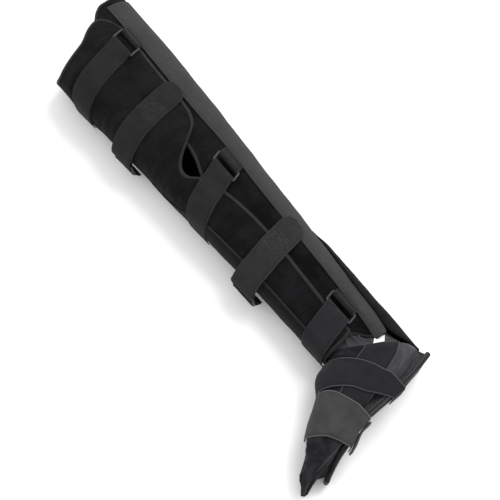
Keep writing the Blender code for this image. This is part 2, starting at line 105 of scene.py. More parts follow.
WRAP_ENDS = {
    "at": (-296, -291, -285, -279, -268, -250, -210, -180, -130, -90, -30, 0, 60, 72, 81, 92, 109, 122),
    "thigh": (0.024, -0.010, -0.027, -0.033, -0.024, 0.004, 0.020, 0.004, -0.030, -0.050, -0.085,
              -0.095, -0.082, -0.064, -0.039, -0.021, 0.009, 0.020),
    "ankle": (-0.034, -0.034, -0.032, -0.030, -0.022, -0.014, -0.012, -0.012, -0.010, -0.010, 0,
              0.010, 0.024, 0.024, 0.012, -0.010, -0.020, -0.024),
}
STAYS = {
    "at": (-0.07, 0.30, 0.40, 0.48, 0.54, 0.59, 0.70, 0.78, 0.84, 0.90, 0.98, 1.05),
    "right": (59, 59, 59, 60, 61, 62, 63, 64, 65, 67, 71, 77),
    "right_width": (1.00, 1.00, 0.92, 0.86, 0.81, 0.77, 0.69, 0.62, 0.53, 0.46, 0.45, 0.36),
    "left": (211, 210, 202, 180, 156, 147, 144, 142, 142, 142, 144, 146),
}
PANEL_EDGES = {
    "at": (0.737, 0.78, 0.84, 0.98, 1.04, 1.075, 1.105),
    "front": (18, 28, 40, 48, 48, 34, 22),
    "back": (-12, -24, -36, -38, -34, -30, -24),
}
FOOT_SECTIONS = {
    "at": (0, 1, 2, 3, 4, 5, 6, 7, 8, 9, 10, 11),
    "instep_x": (-0.350, -0.310, -0.293, -0.277, -0.246, -0.195, -0.151, -0.106, -0.047, 0.016,
                 0.078, 0.137),
    "instep_y": (-0.412, -0.445, -0.490, -0.543, -0.582, -0.619, -0.681, -0.758, -0.835, -0.905,
                 -0.988, -1.045),
    "sole_x": (-0.127, -0.073, -0.016, 0.018, 0.034, 0.028, 0.023, 0.027, 0.084, 0.114, 0.132,
               0.166),
    "sole_y": (-0.070, -0.0405, -0.0405, -0.108, -0.215, -0.330, -0.440, -0.560, -0.690, -0.800,
               -0.890, -1.000),
    "height": (0.87, 0.97, 0.98, 1.00, 1.00, 1.00, 0.98, 0.94, 0.89, 0.78, 0.56, 0.32),
}
SOLE_SECTIONS = {
    "at": (0, 0.12, 0.24, 0.40, 0.56, 0.66, 0.75, 0.85, 0.90, 0.95, 1.00),
    "out": (0, 0.020, 0.032, 0.034, 0.034, 0.044, 0.084, 0.112, 0.130, 0.152, 0.178),
    "height": (1.00, 1.00, 1.00, 1.00, 0.98, 0.94, 0.86, 0.72, 0.60, 0.46, 0.36),
}
INSTEP_BAND = {
    "at": (0, 60, 100, 134, 172),
    "first": (4.35, 3.7, 2.5, 1.6, 1.5),
    "last": (5.1, 5.3, 4.8, 4.7, 5.0),
}
FOREFOOT_BAND = {
    "at": (0, 44, 94, 134, 180),
    "first": (6.6, 6.45, 5.7, 5.0, 5.2),
    "last": (8.0, 8.1, 7.9, 7.9, 7.9),
}
CROSS_BAND = {
    "at": (0.5, 1.5, 2.5, 3.5, 4.5, 5.5, 6.5),
    "near": (50, 62, 66, 66, 60, 52, 40),
    "far": (98, 109, 112, 112, 112, 114, 116),
}
FOREFOOT_LOOP_SHARES = (0.685, 0.725)
BAND_FOOT_SHARE = 0.45
# Each leg strap: place of its loop along the wrap, the skew of its far end, the loop's
# side, the angles of the loop and of the tail's end, the loop's stand-off and width.
LEG_STRAPS = {
    "thigh_top": (0.074, 0.058, "right", 73, 196, 0.0, 1.0),
    "thigh_low": (0.292, -0.036, "left", 188, 60, 0.2, 0.8),
    "knee": (0.500, 0.042, "right", 78, 196, 0.0, 0.8),
    "calf": (0.744, -0.028, "left", 184, 50, 0.45, 0.8),
    "ankle": (0.929, 0.018, "right", 85, 198, 0.0, 0.8),
}
print("leg straps:", ", ".join(LEG_STRAPS))

# %% [markdown]
# ## Places on the surfaces
#
# Each surface is a function of where one is along the part and round it. `lift` is a
# height over the surface, so a strap, a seam or a swelling is the same function with
# another lift. That is simpler than projecting pieces on to a mesh, and it never cuts in.

# %% Smooth curves through the tables
def through(table, column, at):
    """A column's value between the rows, on a smooth curve."""
    places, values = table["at"], table[column]
    if at <= places[0]:
        return values[0]
    if at >= places[-1]:
        return values[-1]
    k = max(i for i in range(len(places) - 1) if places[i] <= at)
    slopes = []
    for i in (k, k + 1):
        low, high = max(i - 1, 0), min(i + 1, len(places) - 1)
        slopes.append((values[high] - values[low]) / (places[high] - places[low]))
    step = places[k + 1] - places[k]
    t = (at - places[k]) / step
    start = (2 * t**3 - 3 * t**2 + 1) * values[k] + (t**3 - 2 * t**2 + t) * step * slopes[0]
    return start + (3 * t**2 - 2 * t**3) * values[k + 1] + (t**3 - t**2) * step * slopes[1]


def ease(t):
    """0 up to t = 0, 1 from t = 1 on, and smooth between them."""
    t = min(max(t, 0.0), 1.0)
    return t * t * (3 - 2 * t)


def part_way(ends, share):
    """The number at a share of the way between two others."""
    return ends[0] + (ends[1] - ends[0]) * share


def gone_along(line):
    """The length gone at each point of a line."""
    gone = [0.0]
    for before, here in zip(line, line[1:]):
        gone.append(gone[-1] + (here - before).length)
    return gone


def ring_point(angle, roundness):
    """A point on a squarish ring of half width and half height 1."""
    c, s = math.cos(angle), math.sin(angle)
    reach = (abs(c) ** roundness + abs(s) ** roundness) ** (-1 / roundness)
    return c * reach, s * reach


# %% The leg's surface
def flap_sink(along, angle):
    """How deep the right flap dips under the left one."""
    full, wide = through(DIPS, "full", along), through(DIPS, "wide", along)
    depth = WRAP_WALL + FLAP_GAP + CALF_SINK * ease((along - 0.42) / 0.12)
    return depth * ease((angle - full + wide) / wide)


def leg_point(x, angle, lift=0.0, sunk=True):
    """A place on the leg: x from the thigh, angle from the right side over the top."""
    along = x / WRAP_LENGTH
    half_width = THIGH_WIDTH * through(LEG_SECTIONS, "width", along) / 2
    half_height = THIGH_HEIGHT * through(LEG_SECTIONS, "height", along) / 2
    a, step = math.radians(angle), math.radians(0.5)
    y, z = ring_point(a, ROUNDNESS)
    y0, z0 = ring_point(a - step, ROUNDNESS)
    y1, z1 = ring_point(a + step, ROUNDNESS)
    normal = Vector((0, (z1 - z0) * half_height, -(y1 - y0) * half_width)).normalized()
    lift -= flap_sink(along, angle) if sunk and angle > 0 else 0.0
    place = Vector((x, half_width * y, half_height * (1 + z) - REST_FLAT)) + normal * lift
    place.z = max(place.z, min(lift, 0.0))
    return place


def wrap_place(u, v):
    """x and angle on the wrap's sheet: u from the left edge round the back to the right's."""
    left = through(FLAP_EDGES, "left", v) - 360
    angle = part_way((left, through(FLAP_EDGES, "right", v)), u)
    reach = END_REACH / WRAP_LENGTH
    thigh = through(WRAP_ENDS, "thigh", angle) * (1 - ease(v / reach))
    ankle = through(WRAP_ENDS, "ankle", angle) * ease((v - 1) / reach + 1)
    return (v + thigh + ankle) * WRAP_LENGTH, angle


def arc_angle(x, start, length, turn):
    """The angle reached by going a length round the leg from a start angle."""
    angle, gone, last = start, 0.0, leg_point(x, start, sunk=False)
    while gone < length:
        angle += turn
        here = leg_point(x, angle, sunk=False)
        gone += (here - last).length
        last = here
    return angle


# %% The foot's surface and the sole plate's
def foot_point(row, angle, lift=0.0):
    """A place on the foot: rows run from the ankle to the toe, angles from the sole side."""
    ends = []
    for side in ("instep", "sole"):
        place = [through(FOOT_SECTIONS, side + axis, row) for axis in ("_x", "_y")]
        ends.append(HEEL + Vector((*place, 0)) * FOOT_LENGTH)
    half = (ends[1] - ends[0]) / 2
    tall = FOOT_HEIGHT * through(FOOT_SECTIONS, "height", row) / 2
    squarish = SOLE_ROUNDNESS if math.cos(math.radians(angle)) > 0 else FOOT_ROUNDNESS
    c, s = ring_point(math.radians(angle), squarish)
    c0, s0 = ring_point(math.radians(angle - 0.5), squarish)
    c1, s1 = ring_point(math.radians(angle + 0.5), squarish)
    normal = half.normalized() * (s1 - s0) * tall + Vector((0, 0, -(c1 - c0) * half.length))
    place = (ends[0] + ends[1]) / 2 + half * c
    place.z = tall * (1 + s) - REST_FLAT
    place += normal.normalized() * lift
    place.z = max(place.z, min(lift, 0.0))
    return place


def sole_point(along, height, out=0.0):
    """A place on the sole plate's outside, by shares of its length and height."""
    x = through(SOLE_SECTIONS, "out", along) * SOLE_LENGTH + SOLE_GAP + SOLE_THICKNESS + out
    tall = SOLE_HEIGHT * through(SOLE_SECTIONS, "height", along)
    return HEEL + Vector((x, -SOLE_START - along * SOLE_LENGTH, height * tall))


thigh_row = [leg_point(*wrap_place(k / 60, 0.2)) for k in range(61)]
print("girth of the thigh, m:", round(gone_along(thigh_row)[-1], 3))

# %% [markdown]
# ## Sheets with a thickness
#
# Foam laminate and webbing are flat goods. A grid is put in place point by point and then
# built as a closed body: an outer face, an inner face and a rounded rim of three rows of
# faces between them. Solidify could do this, but here the rim's rounding and the lengths
# along and across the cloth, which the weave needs, are kept exactly. The lengths go into
# a UV map in metres.

# %% Make a sheet, rounded at its rim
UV_NAME, RIM_NAME = "cloth", "rim"
RIM_STEPS = 3
RIM_BULGE = 0.5  # how far a rim stands out, as a share of the wall


def finish_mesh(name, points, faces, lengths, rims, looks):
    """A mesh piece from points and faces, with the cloth's lengths and its finish."""
    mesh = bpy.data.meshes.new(name)
    mesh.from_pydata([Vector((p.x, p.y, max(p.z, 0.0))) + SHIFT for p in points], [], faces)
    for title, values in ((UV_NAME, lengths), (RIM_NAME, rims)):
        layer = mesh.uv_layers.new(name=title)
        for loop in mesh.loops:
            layer.data[loop.index].uv = values[loop.vertex_index]
    shape = bmesh.new()
    shape.from_mesh(mesh)
    bmesh.ops.recalc_face_normals(shape, faces=shape.faces)
    shape.to_mesh(mesh)
    shape.free()
    mesh.shade_smooth()
    mesh.materials.append(looks)
    made = bpy.data.objects.new(name, mesh)
    bpy.context.scene.collection.objects.link(made)
    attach(made, "root")
    return made


def two_faced(name, outer, inner, looks, closed=False):
    """A closed body between two grids of points, given as rows of equal length.

    Each point keeps its lengths across and along the cloth, and in the second map its
    distances from the nearest side and the nearest end.
    """
    count_v, count_u = len(outer), len(outer[0])
    size = count_u * count_v
    gone_v = gone_along([row[count_u // 2] for row in outer])
    points, lengths, rims, faces = [], [], [], []
    for grid in (outer, inner):
        for j, row in enumerate(grid):
            gone_u = gone_along(outer[j])
            points += row
            for g in gone_u:
                lengths.append((g - gone_u[-1] / 2, gone_v[j]))
                side = 1.0 if closed else min(g, gone_u[-1] - g)
                rims.append((side, min(gone_v[j], gone_v[-1] - gone_v[j])))
    for j in range(count_v - 1):
        for i in range(count_u if closed else count_u - 1):
            n = (i + 1) % count_u
            a, b = j * count_u, (j + 1) * count_u
            quad = (a + i, a + n, b + n, b + i)
            faces.append(quad)
            faces.append(tuple(size + k for k in reversed(quad)))
    first = list(range(count_u))
    last = [(count_v - 1) * count_u + i for i in range(count_u)]
    if closed:
        borders = [first, last]
    else:
        right = [j * count_u + count_u - 1 for j in range(1, count_v - 1)]
        left = [j * count_u for j in range(count_v - 2, 0, -1)]
        borders = [first + right + last[::-1] + left]
    for border in borders:
        ladders = []
        for k, index in enumerate(border):
            before, after = points[border[k - 1]], points[border[(k + 1) % len(border)]]
            down = points[size + index] - points[index]
            out = (after - before).cross(down).normalized()
            j, i = divmod(index, count_u)
            i = i if closed else min(max(i, 1), count_u - 2)
            centre = points[min(max(j, 1), count_v - 2) * count_u + i]
            out = -out if out.dot(points[index] - centre) < 0 else out
            ladder = [index]
            for step in range(1, RIM_STEPS):
                a = math.pi * step / RIM_STEPS
                bulge = out * (math.sin(a) * down.length * RIM_BULGE)
                ladder.append(len(points))
                points.append(points[index] + down * (1 - math.cos(a)) / 2 + bulge)
                lengths.append(lengths[index])
                rims.append(rims[index])
            ladders.append(ladder + [size + index])
        for k, ladder in enumerate(ladders):
            other = ladders[(k + 1) % len(ladders)]
            for s in range(RIM_STEPS):
                faces.append((ladder[s], ladder[s + 1], other[s + 1], other[s]))
    return finish_mesh(name, points, faces, lengths, rims, looks)


def soft_sheet(name, columns, rows, place, wall, looks, closed=False):
    """A sheet between place(u, v, 0) and place(u, v, -wall)."""
    outer = [[place(u, v, 0.0) for u in columns] for v in rows]
    inner = [[place(u, v, -wall) for u in columns] for v in rows]
    return two_faced(name, outer, inner, looks, closed)


def web(name, grid, looks):
    """Webbing about a grid of points, half of it on either side along the grid's normals."""
    outer, inner = [], []
    for j, row in enumerate(grid):
        before, after = grid[max(j - 1, 0)], grid[min(j + 1, len(grid) - 1)]
        outer.append([])
        inner.append([])
        for i, point in enumerate(row):
            across = row[min(i + 1, len(row) - 1)] - row[max(i - 1, 0)]
            normal = across.cross(after[i] - before[i]).normalized() * (STRAP_THICKNESS / 2)
            outer[-1].append(point + normal)
            inner[-1].append(point - normal)
    return two_faced(name, outer, inner, looks)


def even(first, last, step):
    """Even places from one number to another, no further apart than a step."""
    count = max(1, math.ceil(abs(last - first) / step))
    return [first + (last - first) * k / count for k in range(count + 1)]


def shares(count, tight=0.0):
    """Shares from 0 to 1, closer together at the two ends where tight is above 0."""
    plain = [k / count for k in range(count + 1)]
    return [t - tight * math.sin(2 * math.pi * t) / (2 * math.pi) for t in plain]


# %% [markdown]
# ## Shader maths
#
# A finish is a formula over the cloth's own lengths. The class below wraps a socket, so
# that the formula reads as one. Sums of numbers become Math nodes, and every other node
# comes from `node`, which takes its settings first and then its sockets.

# %% A small language for shader formulas
class Wire:
    """A socket that can be added, multiplied and compared."""

    def __init__(self, sheet, socket):
        self.sheet, self.socket = sheet, socket

    def maths(self, operation, *values):
        return self.sheet.node("ShaderNodeMath", {"operation": operation}, dict(enumerate(values)))

    def __add__(self, other):
        return self.maths("ADD", self, other)

    def __sub__(self, other):
        return self.maths("SUBTRACT", self, other)

    def __rsub__(self, other):
        return self.maths("SUBTRACT", other, self)

    def __mul__(self, other):
        return self.maths("MULTIPLY", self, other)

    def __gt__(self, other):
        return self.maths("GREATER_THAN", self, other)

    def __lt__(self, other):
        return self.maths("LESS_THAN", self, other)

    def __abs__(self):
        return self.maths("ABSOLUTE", self)

    __radd__ = __add__

    def wave(self, length):
        """From 0 to 1 and back over each length."""
        return self.maths("SINE", self * (2 * math.pi / length)) * 0.5 + 0.5

    def ramp(self, low, high, at_low, at_high):
        """A value at a low one and another at a high one, and smooth between them."""
        values = {"Value": self, "From Min": low, "From Max": high, "To Min": at_low, "To Max": at_high}
        return self.sheet.node("ShaderNodeMapRange", {"interpolation_type": "SMOOTHSTEP"}, values)

    def between(self, low, high):
        """0 below a low value, 1 above a high one."""
        return self.ramp(low, high, 0.0, 1.0)

    def near(self, place, reach):
        """1 at a place, falling smoothly to 0 at a reach from it."""
        return abs(self - place).ramp(0.0, reach, 1.0, 0.0)


class Finish:
    """A material with a Principled shader, whose nodes are made by one method."""

    def __init__(self, name, sheen=0.0, sheen_roughness=0.5, specular=0.5):
        self.material = bpy.data.materials.new(name)
        self.material.use_nodes = True
        self.tree = self.material.node_tree
        self.shader = self.tree.nodes["Principled BSDF"]
        self.shader.inputs["Sheen Weight"].default_value = sheen
        self.shader.inputs["Sheen Roughness"].default_value = sheen_roughness
        self.shader.inputs["Specular IOR Level"].default_value = specular

    def node(self, kind, settings=None, values=None, output=0):
        made = self.tree.nodes.new(kind)
        for key, value in (settings or {}).items():
            setattr(made, key, value)
        for key, value in (values or {}).items():
            self.set(made.inputs[key], value)
        return Wire(self, made.outputs[output])

    def set(self, socket, value):
        if isinstance(value, Wire):
            self.tree.links.new(value.socket, socket)
        else:
            socket.default_value = value

    def cloth(self):
        """The lengths across and along the cloth, in metres, and both as a vector."""
        place = self.node("ShaderNodeUVMap", {"uv_map": UV_NAME})
        across = self.node("ShaderNodeSeparateXYZ", values={"Vector": place}, output="X")
        along = self.node("ShaderNodeSeparateXYZ", values={"Vector": place}, output="Y")
        return across, along, place

    def side(self):
        """The distance from the nearest side of the cloth, in metres."""
        place = self.node("ShaderNodeUVMap", {"uv_map": RIM_NAME})
        return self.node("ShaderNodeSeparateXYZ", values={"Vector": place}, output="X")

    def body(self):
        """The place in the piece, for what doesn't follow the cloth's threads."""
        return self.node("ShaderNodeTexCoord", output="Object")

    def noise(self, place, size, detail=3.0, roughness=0.55):
        """Noise with spots of about a size, from 0 to 1."""
        values = {"Vector": place, "Scale": 1 / size, "Detail": detail, "Roughness": roughness}
        return self.node("ShaderNodeTexNoise", {"noise_dimensions": "3D"}, values)

    def stretched(self, place, across, along):
        """A place whose lengths are scaled, so that noise over it is drawn out."""
        values = {0: place, 1: (across, along, 1.0)}
        return self.node("ShaderNodeVectorMath", {"operation": "MULTIPLY"}, values)

    def mix(self, factor, low, high):
        """A colour from low to high by a factor."""
        low, high = (c if isinstance(c, Wire) else (*c, 1.0) for c in (low, high))
        # A Mix node's sockets 6 and 7 are its colours A and B, and output 2 their mix.
        return self.node("ShaderNodeMix", {"data_type": "RGBA"}, {0: factor, 6: low, 7: high}, 2)

    def wear(self, colour, roughness, height, depth, strength=1.0):
        """Feeds the shader: a colour, a roughness and a relief of a depth in metres."""
        self.set(self.shader.inputs["Base Color"], colour)
        self.set(self.shader.inputs["Roughness"], roughness)
        relief = {"Strength": strength, "Distance": depth, "Height": height}
        self.set(self.shader.inputs["Normal"], self.node("ShaderNodeBump", values=relief))
        return self.material


# %% [markdown]
# ## The finishes
#
# - The wrap is foam with a brushed black face: nearly black, with a short nap that lies
#   in patches and catches the light a little.
# - The stay pockets are ribbed cloth, with ribs along the leg: charcoal on the right, and
#   on the left the same cloth darkened with painted shade, nearly black with two pale seams.
# - The straps are brushed webbing in several greys. Those of the foot have paler woven
#   edges, and the rough patches on four of the leg's may be sewn-on hooks.
# - The gussets and the heel's patch are a thin lining, smoother and with soft folds, whose
#   highlights and shade are painted into the colour.
# - The bindings are a smooth knitted tape with a line of stitches and a painted highlight
#   where it rolls over the edge, dark on the wrap and paler on the foot's flap and patch.
# - The loops are moulded plastic, semi-matt.
#
# Each finish takes a dark and a pale colour. The colours were set by comparing renders
# with the photograph by level, piece by piece.

# %% Brushed laminate
SEAM_INSET = 0.0034  # from a pocket's side to its seam


def brushed_laminate(name, dark, pale, patch=0.045):
    """Foam laminate with a short nap that lies in patches of about a size."""
    f = Finish(name, sheen=0.02, sheen_roughness=0.6, specular=0.05)
    place = f.cloth()[-1]
    nap = f.noise(f.body(), 0.0022, 4.0, 0.7)
    patches = f.noise(f.body(), patch, 4.0, 0.6)
    lint = f.noise(f.body(), 0.0011, 2.0) > 0.74
    creases = f.noise(f.stretched(place, 0.35, 1.0), 0.022, 4.0)
    shade = patches.between(0.30, 0.70) * 0.75 + nap * 0.4 - 0.2
    colour = f.mix(shade, dark, pale)
    colour = f.mix(lint * 0.25, colour, [4 * c for c in pale])
    height = nap * 0.35 + creases * 4.0 + patches * 2.5
    return f.wear(colour, 0.93 - nap * 0.14, height, 0.0024, 0.9)


def ribbed_cloth(name, dark, pale, edge_light):
    """Ribbed cloth with pills. Its seams and edges are edge_light times the pale colour."""
    f = Finish(name, sheen=0.04, sheen_roughness=0.5, specular=0.1)
    across, along, place = f.cloth()
    ribs = across.wave(0.0021)
    grain = f.noise(f.stretched(place, 1.0, 0.45), 0.0016, 4.0, 0.75)
    patches = f.noise(f.body(), 0.03, 3.0)
    pills = f.noise(f.body(), 0.0035, 2.0) > 0.66
    side = f.side()
    seam = side.near(SEAM_INSET, 0.0006) * (along.wave(0.0042) > 0.3)
    edge = side.near(0.0, 0.0013)
    shade = ribs * 0.25 + grain * 0.7 + patches * 0.5 - 0.35
    colour = f.mix(shade, dark, pale)
    colour = f.mix(pills * 0.22, colour, [2.2 * c for c in pale])
    colour = f.mix(seam * 0.7 + edge * 0.5, colour, [edge_light * c for c in pale])
    height = ribs * 0.7 + grain * 0.8 + pills * 0.4 + seam * 0.6 - side.near(SEAM_INSET, 0.0018)
    return f.wear(colour, 0.97 - grain * 0.16, height, 0.0008, 0.8)


# %% Webbing with woven edges and a rough patch
def strap_webbing(name, dark, pale, patch=None, edge_light=0.9, ends=()):
    """Brushed webbing. patch is a rough patch's start and end along it, ends its stitch lines."""
    f = Finish(name, sheen=0.04, sheen_roughness=0.45, specular=0.1)
    across, along, place = f.cloth()
    side = f.side()
    weft = along.wave(0.0017)
    warp = across.wave(0.0013)
    nap = f.noise(f.stretched(place, 1.0, 0.6), 0.0019, 4.0, 0.75)
    patches = f.noise(f.body(), 0.022, 4.0, 0.6)
    edge = side.near(0.0, 0.0014)
    selvedge = side.near(0.0036, 0.0009)
    shade = nap * 0.5 + patches.between(0.25, 0.75) * 0.32 + weft * 0.12 - 0.1
    colour = f.mix(shade, dark, pale)
    colour = f.mix(edge * 0.7, colour, [edge_light * c for c in pale])
    colour = f.mix(selvedge * 0.5, colour, [0.6 * c for c in dark])
    height = weft * 0.3 + warp * 0.3 + nap * 0.7 - selvedge * 0.8
    if patch:
        start, stop = patch
        inside = along.near((start + stop) / 2, (stop - start) / 2) > 0.02
        hooks = f.noise(f.stretched(place, 1.0, 0.5), 0.0030, 4.0, 0.8)
        rough = inside * hooks.between(0.46, 0.60)
        colour = f.mix(rough * 0.42, colour, [1.5 * c for c in pale])
        colour = f.mix(inside * (hooks < 0.42) * 0.35, colour, [0.6 * c for c in dark])
        height = height + rough * 0.9
    for row in ends:
        seam = along.near(row, 0.0007) * (across.wave(0.0040) > 0.3)
        colour = f.mix(seam * 0.8, colour, [2.6 * c for c in pale])
        height = height + seam * 1.0 - along.near(row, 0.0022) * 0.9
    return f.wear(colour, 0.95 - nap * 0.18, height, 0.0007, 0.8)


# %% Thin lining, binding tape and moulded plastic
def thin_lining(name, dark, pale):
    """Thin plain-woven cloth with soft folds, with painted highlights on their ridges and painted shade
    between them.
    """
    f = Finish(name, sheen=0.05, specular=0.3)
    across, along, place = f.cloth()
    folds = f.noise(f.stretched(place, 1.0, 0.3), 0.012, 4.0)
    weave = across.wave(0.0012) * along.wave(0.0012)
    patches = f.noise(f.body(), 0.02)
    # Painted highlight and shade: the colour is paler on the ridges of the folds noise and darker
    # between them.
    colour = f.mix(folds.between(0.35, 0.75) * 0.7 + weave * 0.15 + patches * 0.3, dark, pale)
    return f.wear(colour, 0.66 - folds * 0.15, folds * 2.5 + weave * 0.2 + patches, 0.0015, 0.8)


def binding_tape(name, dark, pale):
    """Knitted tape with a line of stitches, and a painted highlight where it rolls over the bound edge.
    """
    f = Finish(name, sheen=0.08, sheen_roughness=0.35, specular=0.2)
    across, along, place = f.cloth()
    side, stitch_at = f.side(), 0.0014
    knit = along.wave(0.0014) * across.wave(0.0012)
    folds = f.noise(f.stretched(place, 0.3, 1.0), 0.006, 3.0)
    seam = side.near(stitch_at, 0.0005) * (along.wave(0.0046) > 0.35)
    # Painted highlight: a pale line on the tape where it rolls over the edge.
    rim = across.near(0.0018, 0.0015)
    colour = f.mix(folds * 0.7 + knit * 0.3, dark, pale)
    colour = f.mix(rim * 0.75, colour, [4.2 * c for c in pale])
    colour = f.mix(seam * 0.8, colour, [2.0 * c for c in pale])
    height = knit * 0.4 + folds * 0.9 + seam * 0.8 - side.near(stitch_at, 0.0014) * 0.8
    return f.wear(colour, 0.72 - folds * 0.12, height, 0.0006, 0.8)


def moulded_plastic(name, dark, pale):
    """Semi-matt plastic with a fine grain, rubbed in places."""
    f = Finish(name, specular=0.35)
    grain = f.noise(f.body(), 0.0009, 3.0)
    wear = f.noise(f.body(), 0.012, 5.0, 0.7)
    scuffs = f.noise(f.stretched(f.body(), 6.0, 1.0), 0.006, 4.0) > 0.62
    colour = f.mix(wear * 0.8, dark, pale)
    colour = f.mix(scuffs * 0.3, colour, [3 * c for c in pale])
    return f.wear(colour, 0.34 + wear * 0.16 + scuffs * 0.15, grain + wear * 0.5, 0.0002, 0.5)


LAMINATE = brushed_laminate("wrap_brushed_laminate", (0.0022, 0.0022, 0.0027), (0.0078, 0.0078, 0.0088))
FOOT_LAMINATE = brushed_laminate("foot_laminate", (0.0068, 0.0068, 0.008), (0.0272, 0.0272, 0.0306),
                                 patch=0.03)
POCKET = ribbed_cloth("stay_pocket_cloth", (0.0208, 0.0208, 0.0216), (0.0512, 0.0512, 0.052), 0.35)
LINING = thin_lining("thin_lining", (0.0070, 0.0070, 0.0085), (0.048, 0.048, 0.053))
BINDING = binding_tape("binding_tape", (0.0038, 0.0038, 0.0044), (0.0150, 0.0150, 0.0165))
PALE_BINDING = binding_tape("pale_binding_tape", (0.010, 0.010, 0.011), (0.034, 0.034, 0.037))
# The left pocket is the right one's cloth with painted shade: its colours are darkened for the side
# turned from the light.
SHADED_POCKET = ribbed_cloth("left_pocket_painted_shade", (0.0018, 0.0018, 0.0022), (0.0062, 0.0062, 0.0070), 7.0)
PLASTIC = moulded_plastic("loop_plastic", (0.010, 0.010, 0.011), (0.030, 0.030, 0.032))
print("finishes:", ", ".join(m.name for m in (
    LAMINATE, FOOT_LAMINATE, POCKET, SHADED_POCKET, LINING, BINDING, PALE_BINDING, PLASTIC)))

# %% [markdown]
# ## Foam that gives
#
# A worn wrap is never a clean tube. The foam rolls softly, and it swells where a strap
# presses beside it. The slow roll is added to everything on the leg, so the straps follow
# the wrap; the swelling and the creases are the wrap's own.

# %% The slow roll of the leg and the swelling beside the straps
ROLL = 0.0013
SWELL_HEIGHT, SWELL_REACH, CREASE_HEIGHT = 0.0016, 0.022, 0.0014


def rolled(x, angle, lift=0.0, sunk=True):
    """A place on the leg with the slow roll of the foam."""
    place = leg_point(x, angle, lift, sunk)
    roll = ROLL * noise.noise(place / 0.075) + ROLL * 0.45 * noise.noise(place / 0.028)
    return leg_point(x, angle, lift + roll, sunk)


def swelling(x, angle):
    """How far the foam stands up beside the straps, with short creases that run to them."""
    front = angle + 360 if angle < -140 else angle
    swell = 0.0
    for share, skew, side, loop_at, *_ in LEG_STRAPS.values():
        far_at = through(STAYS, "left" if side == "right" else "right", share)
        first, last = sorted((loop_at, far_at))
        if not first < front < last:
            continue
        centre = (share + skew * (front - loop_at) / (far_at - loop_at)) * WRAP_LENGTH
        beside = abs(x - centre) - STRAP_WIDTH / 2
        if 0 < beside < 0.05:
            fade = ease((front - first) / 12) * ease((last - front) / 12)
            rise = ease(beside / 0.007) * math.exp(-((beside / SWELL_REACH) ** 2))
            crease = noise.noise(Vector((front / 7, x / 0.06, share * 9)))
            swell += fade * rise * (SWELL_HEIGHT + CREASE_HEIGHT * crease)
    return swell


# %% [markdown]
# ## The leg wrap
#
# One sheet of foam laminate wraps the leg. Its left flap lies over the right one, and the
# edge bends round the kneecap. Every edge is bound with a folded tape, sewn through. The
# tape could be a curve with a profile, but a small sheet that goes over the rim sits on
# both faces at once, and its stitches follow the UV lengths.

# %% Bind an edge with tape
TAPE_REACH, TAPE_COVER, TAPE_WALL = 0.0030, 0.0004, 0.0008
TAPE_TURN = 0.34  # the share of the tape that goes round the rim


def bind(name, spot, wall, side, steps, reach=TAPE_REACH, cover=TAPE_COVER, looks=BINDING):
    """Tape over one edge of a sheet whose places are spot(u, v, lift). Side is the edge."""
    edge, inward = (0.0, 1) if side in ("left", "start") else (1.0, -1)

    def across(share, t, lift=0.0):
        return spot(share, t, lift) if side in ("left", "right") else spot(t, share, lift)

    def place(k, t, lift):
        k = 1 - 2 * k
        radius = wall / 2 + cover + lift
        if abs(k) <= TAPE_TURN:
            a = math.pi / 2 * k / TAPE_TURN
            inset, height = -radius * math.cos(a), radius * math.sin(a)
        else:
            inset, height = (abs(k) - TAPE_TURN) / (1 - TAPE_TURN) * reach, math.copysign(radius, k)
        size = (across(edge + inward * 0.01, t) - across(edge, t)).length / 0.01
        return across(edge + inward * inset / size, t, height - wall / 2)

    rows = [k / steps for k in range(steps + 1)]
    return soft_sheet(name, shares(18), rows, place, TAPE_WALL, looks)


def bind_round(name, spot, wall, steps, raised, reach=TAPE_REACH):
    """Tape on a sheet's four edges, the two long ones a little raised over the others."""
    for side, count in zip(("left", "right", "start", "stop"), steps):
        cover = TAPE_COVER + (raised if side in ("left", "right") else 0)
        bind(name + side, spot, wall, side, count, reach, cover)


# %% The wrap
def wrap_surface(u, v, lift=0.0):
    """The leg wrap's sheet. Its outer face swells beside the straps, but not at its edges."""
    x, angle = wrap_place(u, v)
    rim = min(1.0, min(u, 1 - u) * 22) * min(1.0, min(v, 1 - v) * 30)
    puff = swelling(x, angle) * max(rim, 0.0) if lift > -0.001 else 0.0
    return rolled(x, angle, lift + puff)


wrap = soft_sheet("wrap", shares(150, 0.3), shares(230),
                  wrap_surface, WRAP_WALL, LAMINATE)
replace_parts(wrap, "leg_wrap")
bind_round("wrap_binding_", wrap_surface, WRAP_WALL, (150, 150, 90, 90), 0.0004)
print("wrap faces:", len(wrap.data.polygons))

# %% [markdown]
# ## The stay pockets
#
# A flat ribbed pocket runs down each side, with a stay inside it on the real splint. It
# stands up a little over the stay and is flat along its two sewn edges. The stay doesn't
# show, so it isn't built, and one function serves both sides.

# %% The stay pockets
POCKET_SPANS = {"right": (-0.062, 1.0 + STAY_OVERHANG / WRAP_LENGTH), "left": (0.020, 0.980)}
POCKET_CROWNS = {"right": 0.0014, "left": 0.0003}
SEAM_DEPTH, SEAM_SPREAD = 0.0004, 0.0016


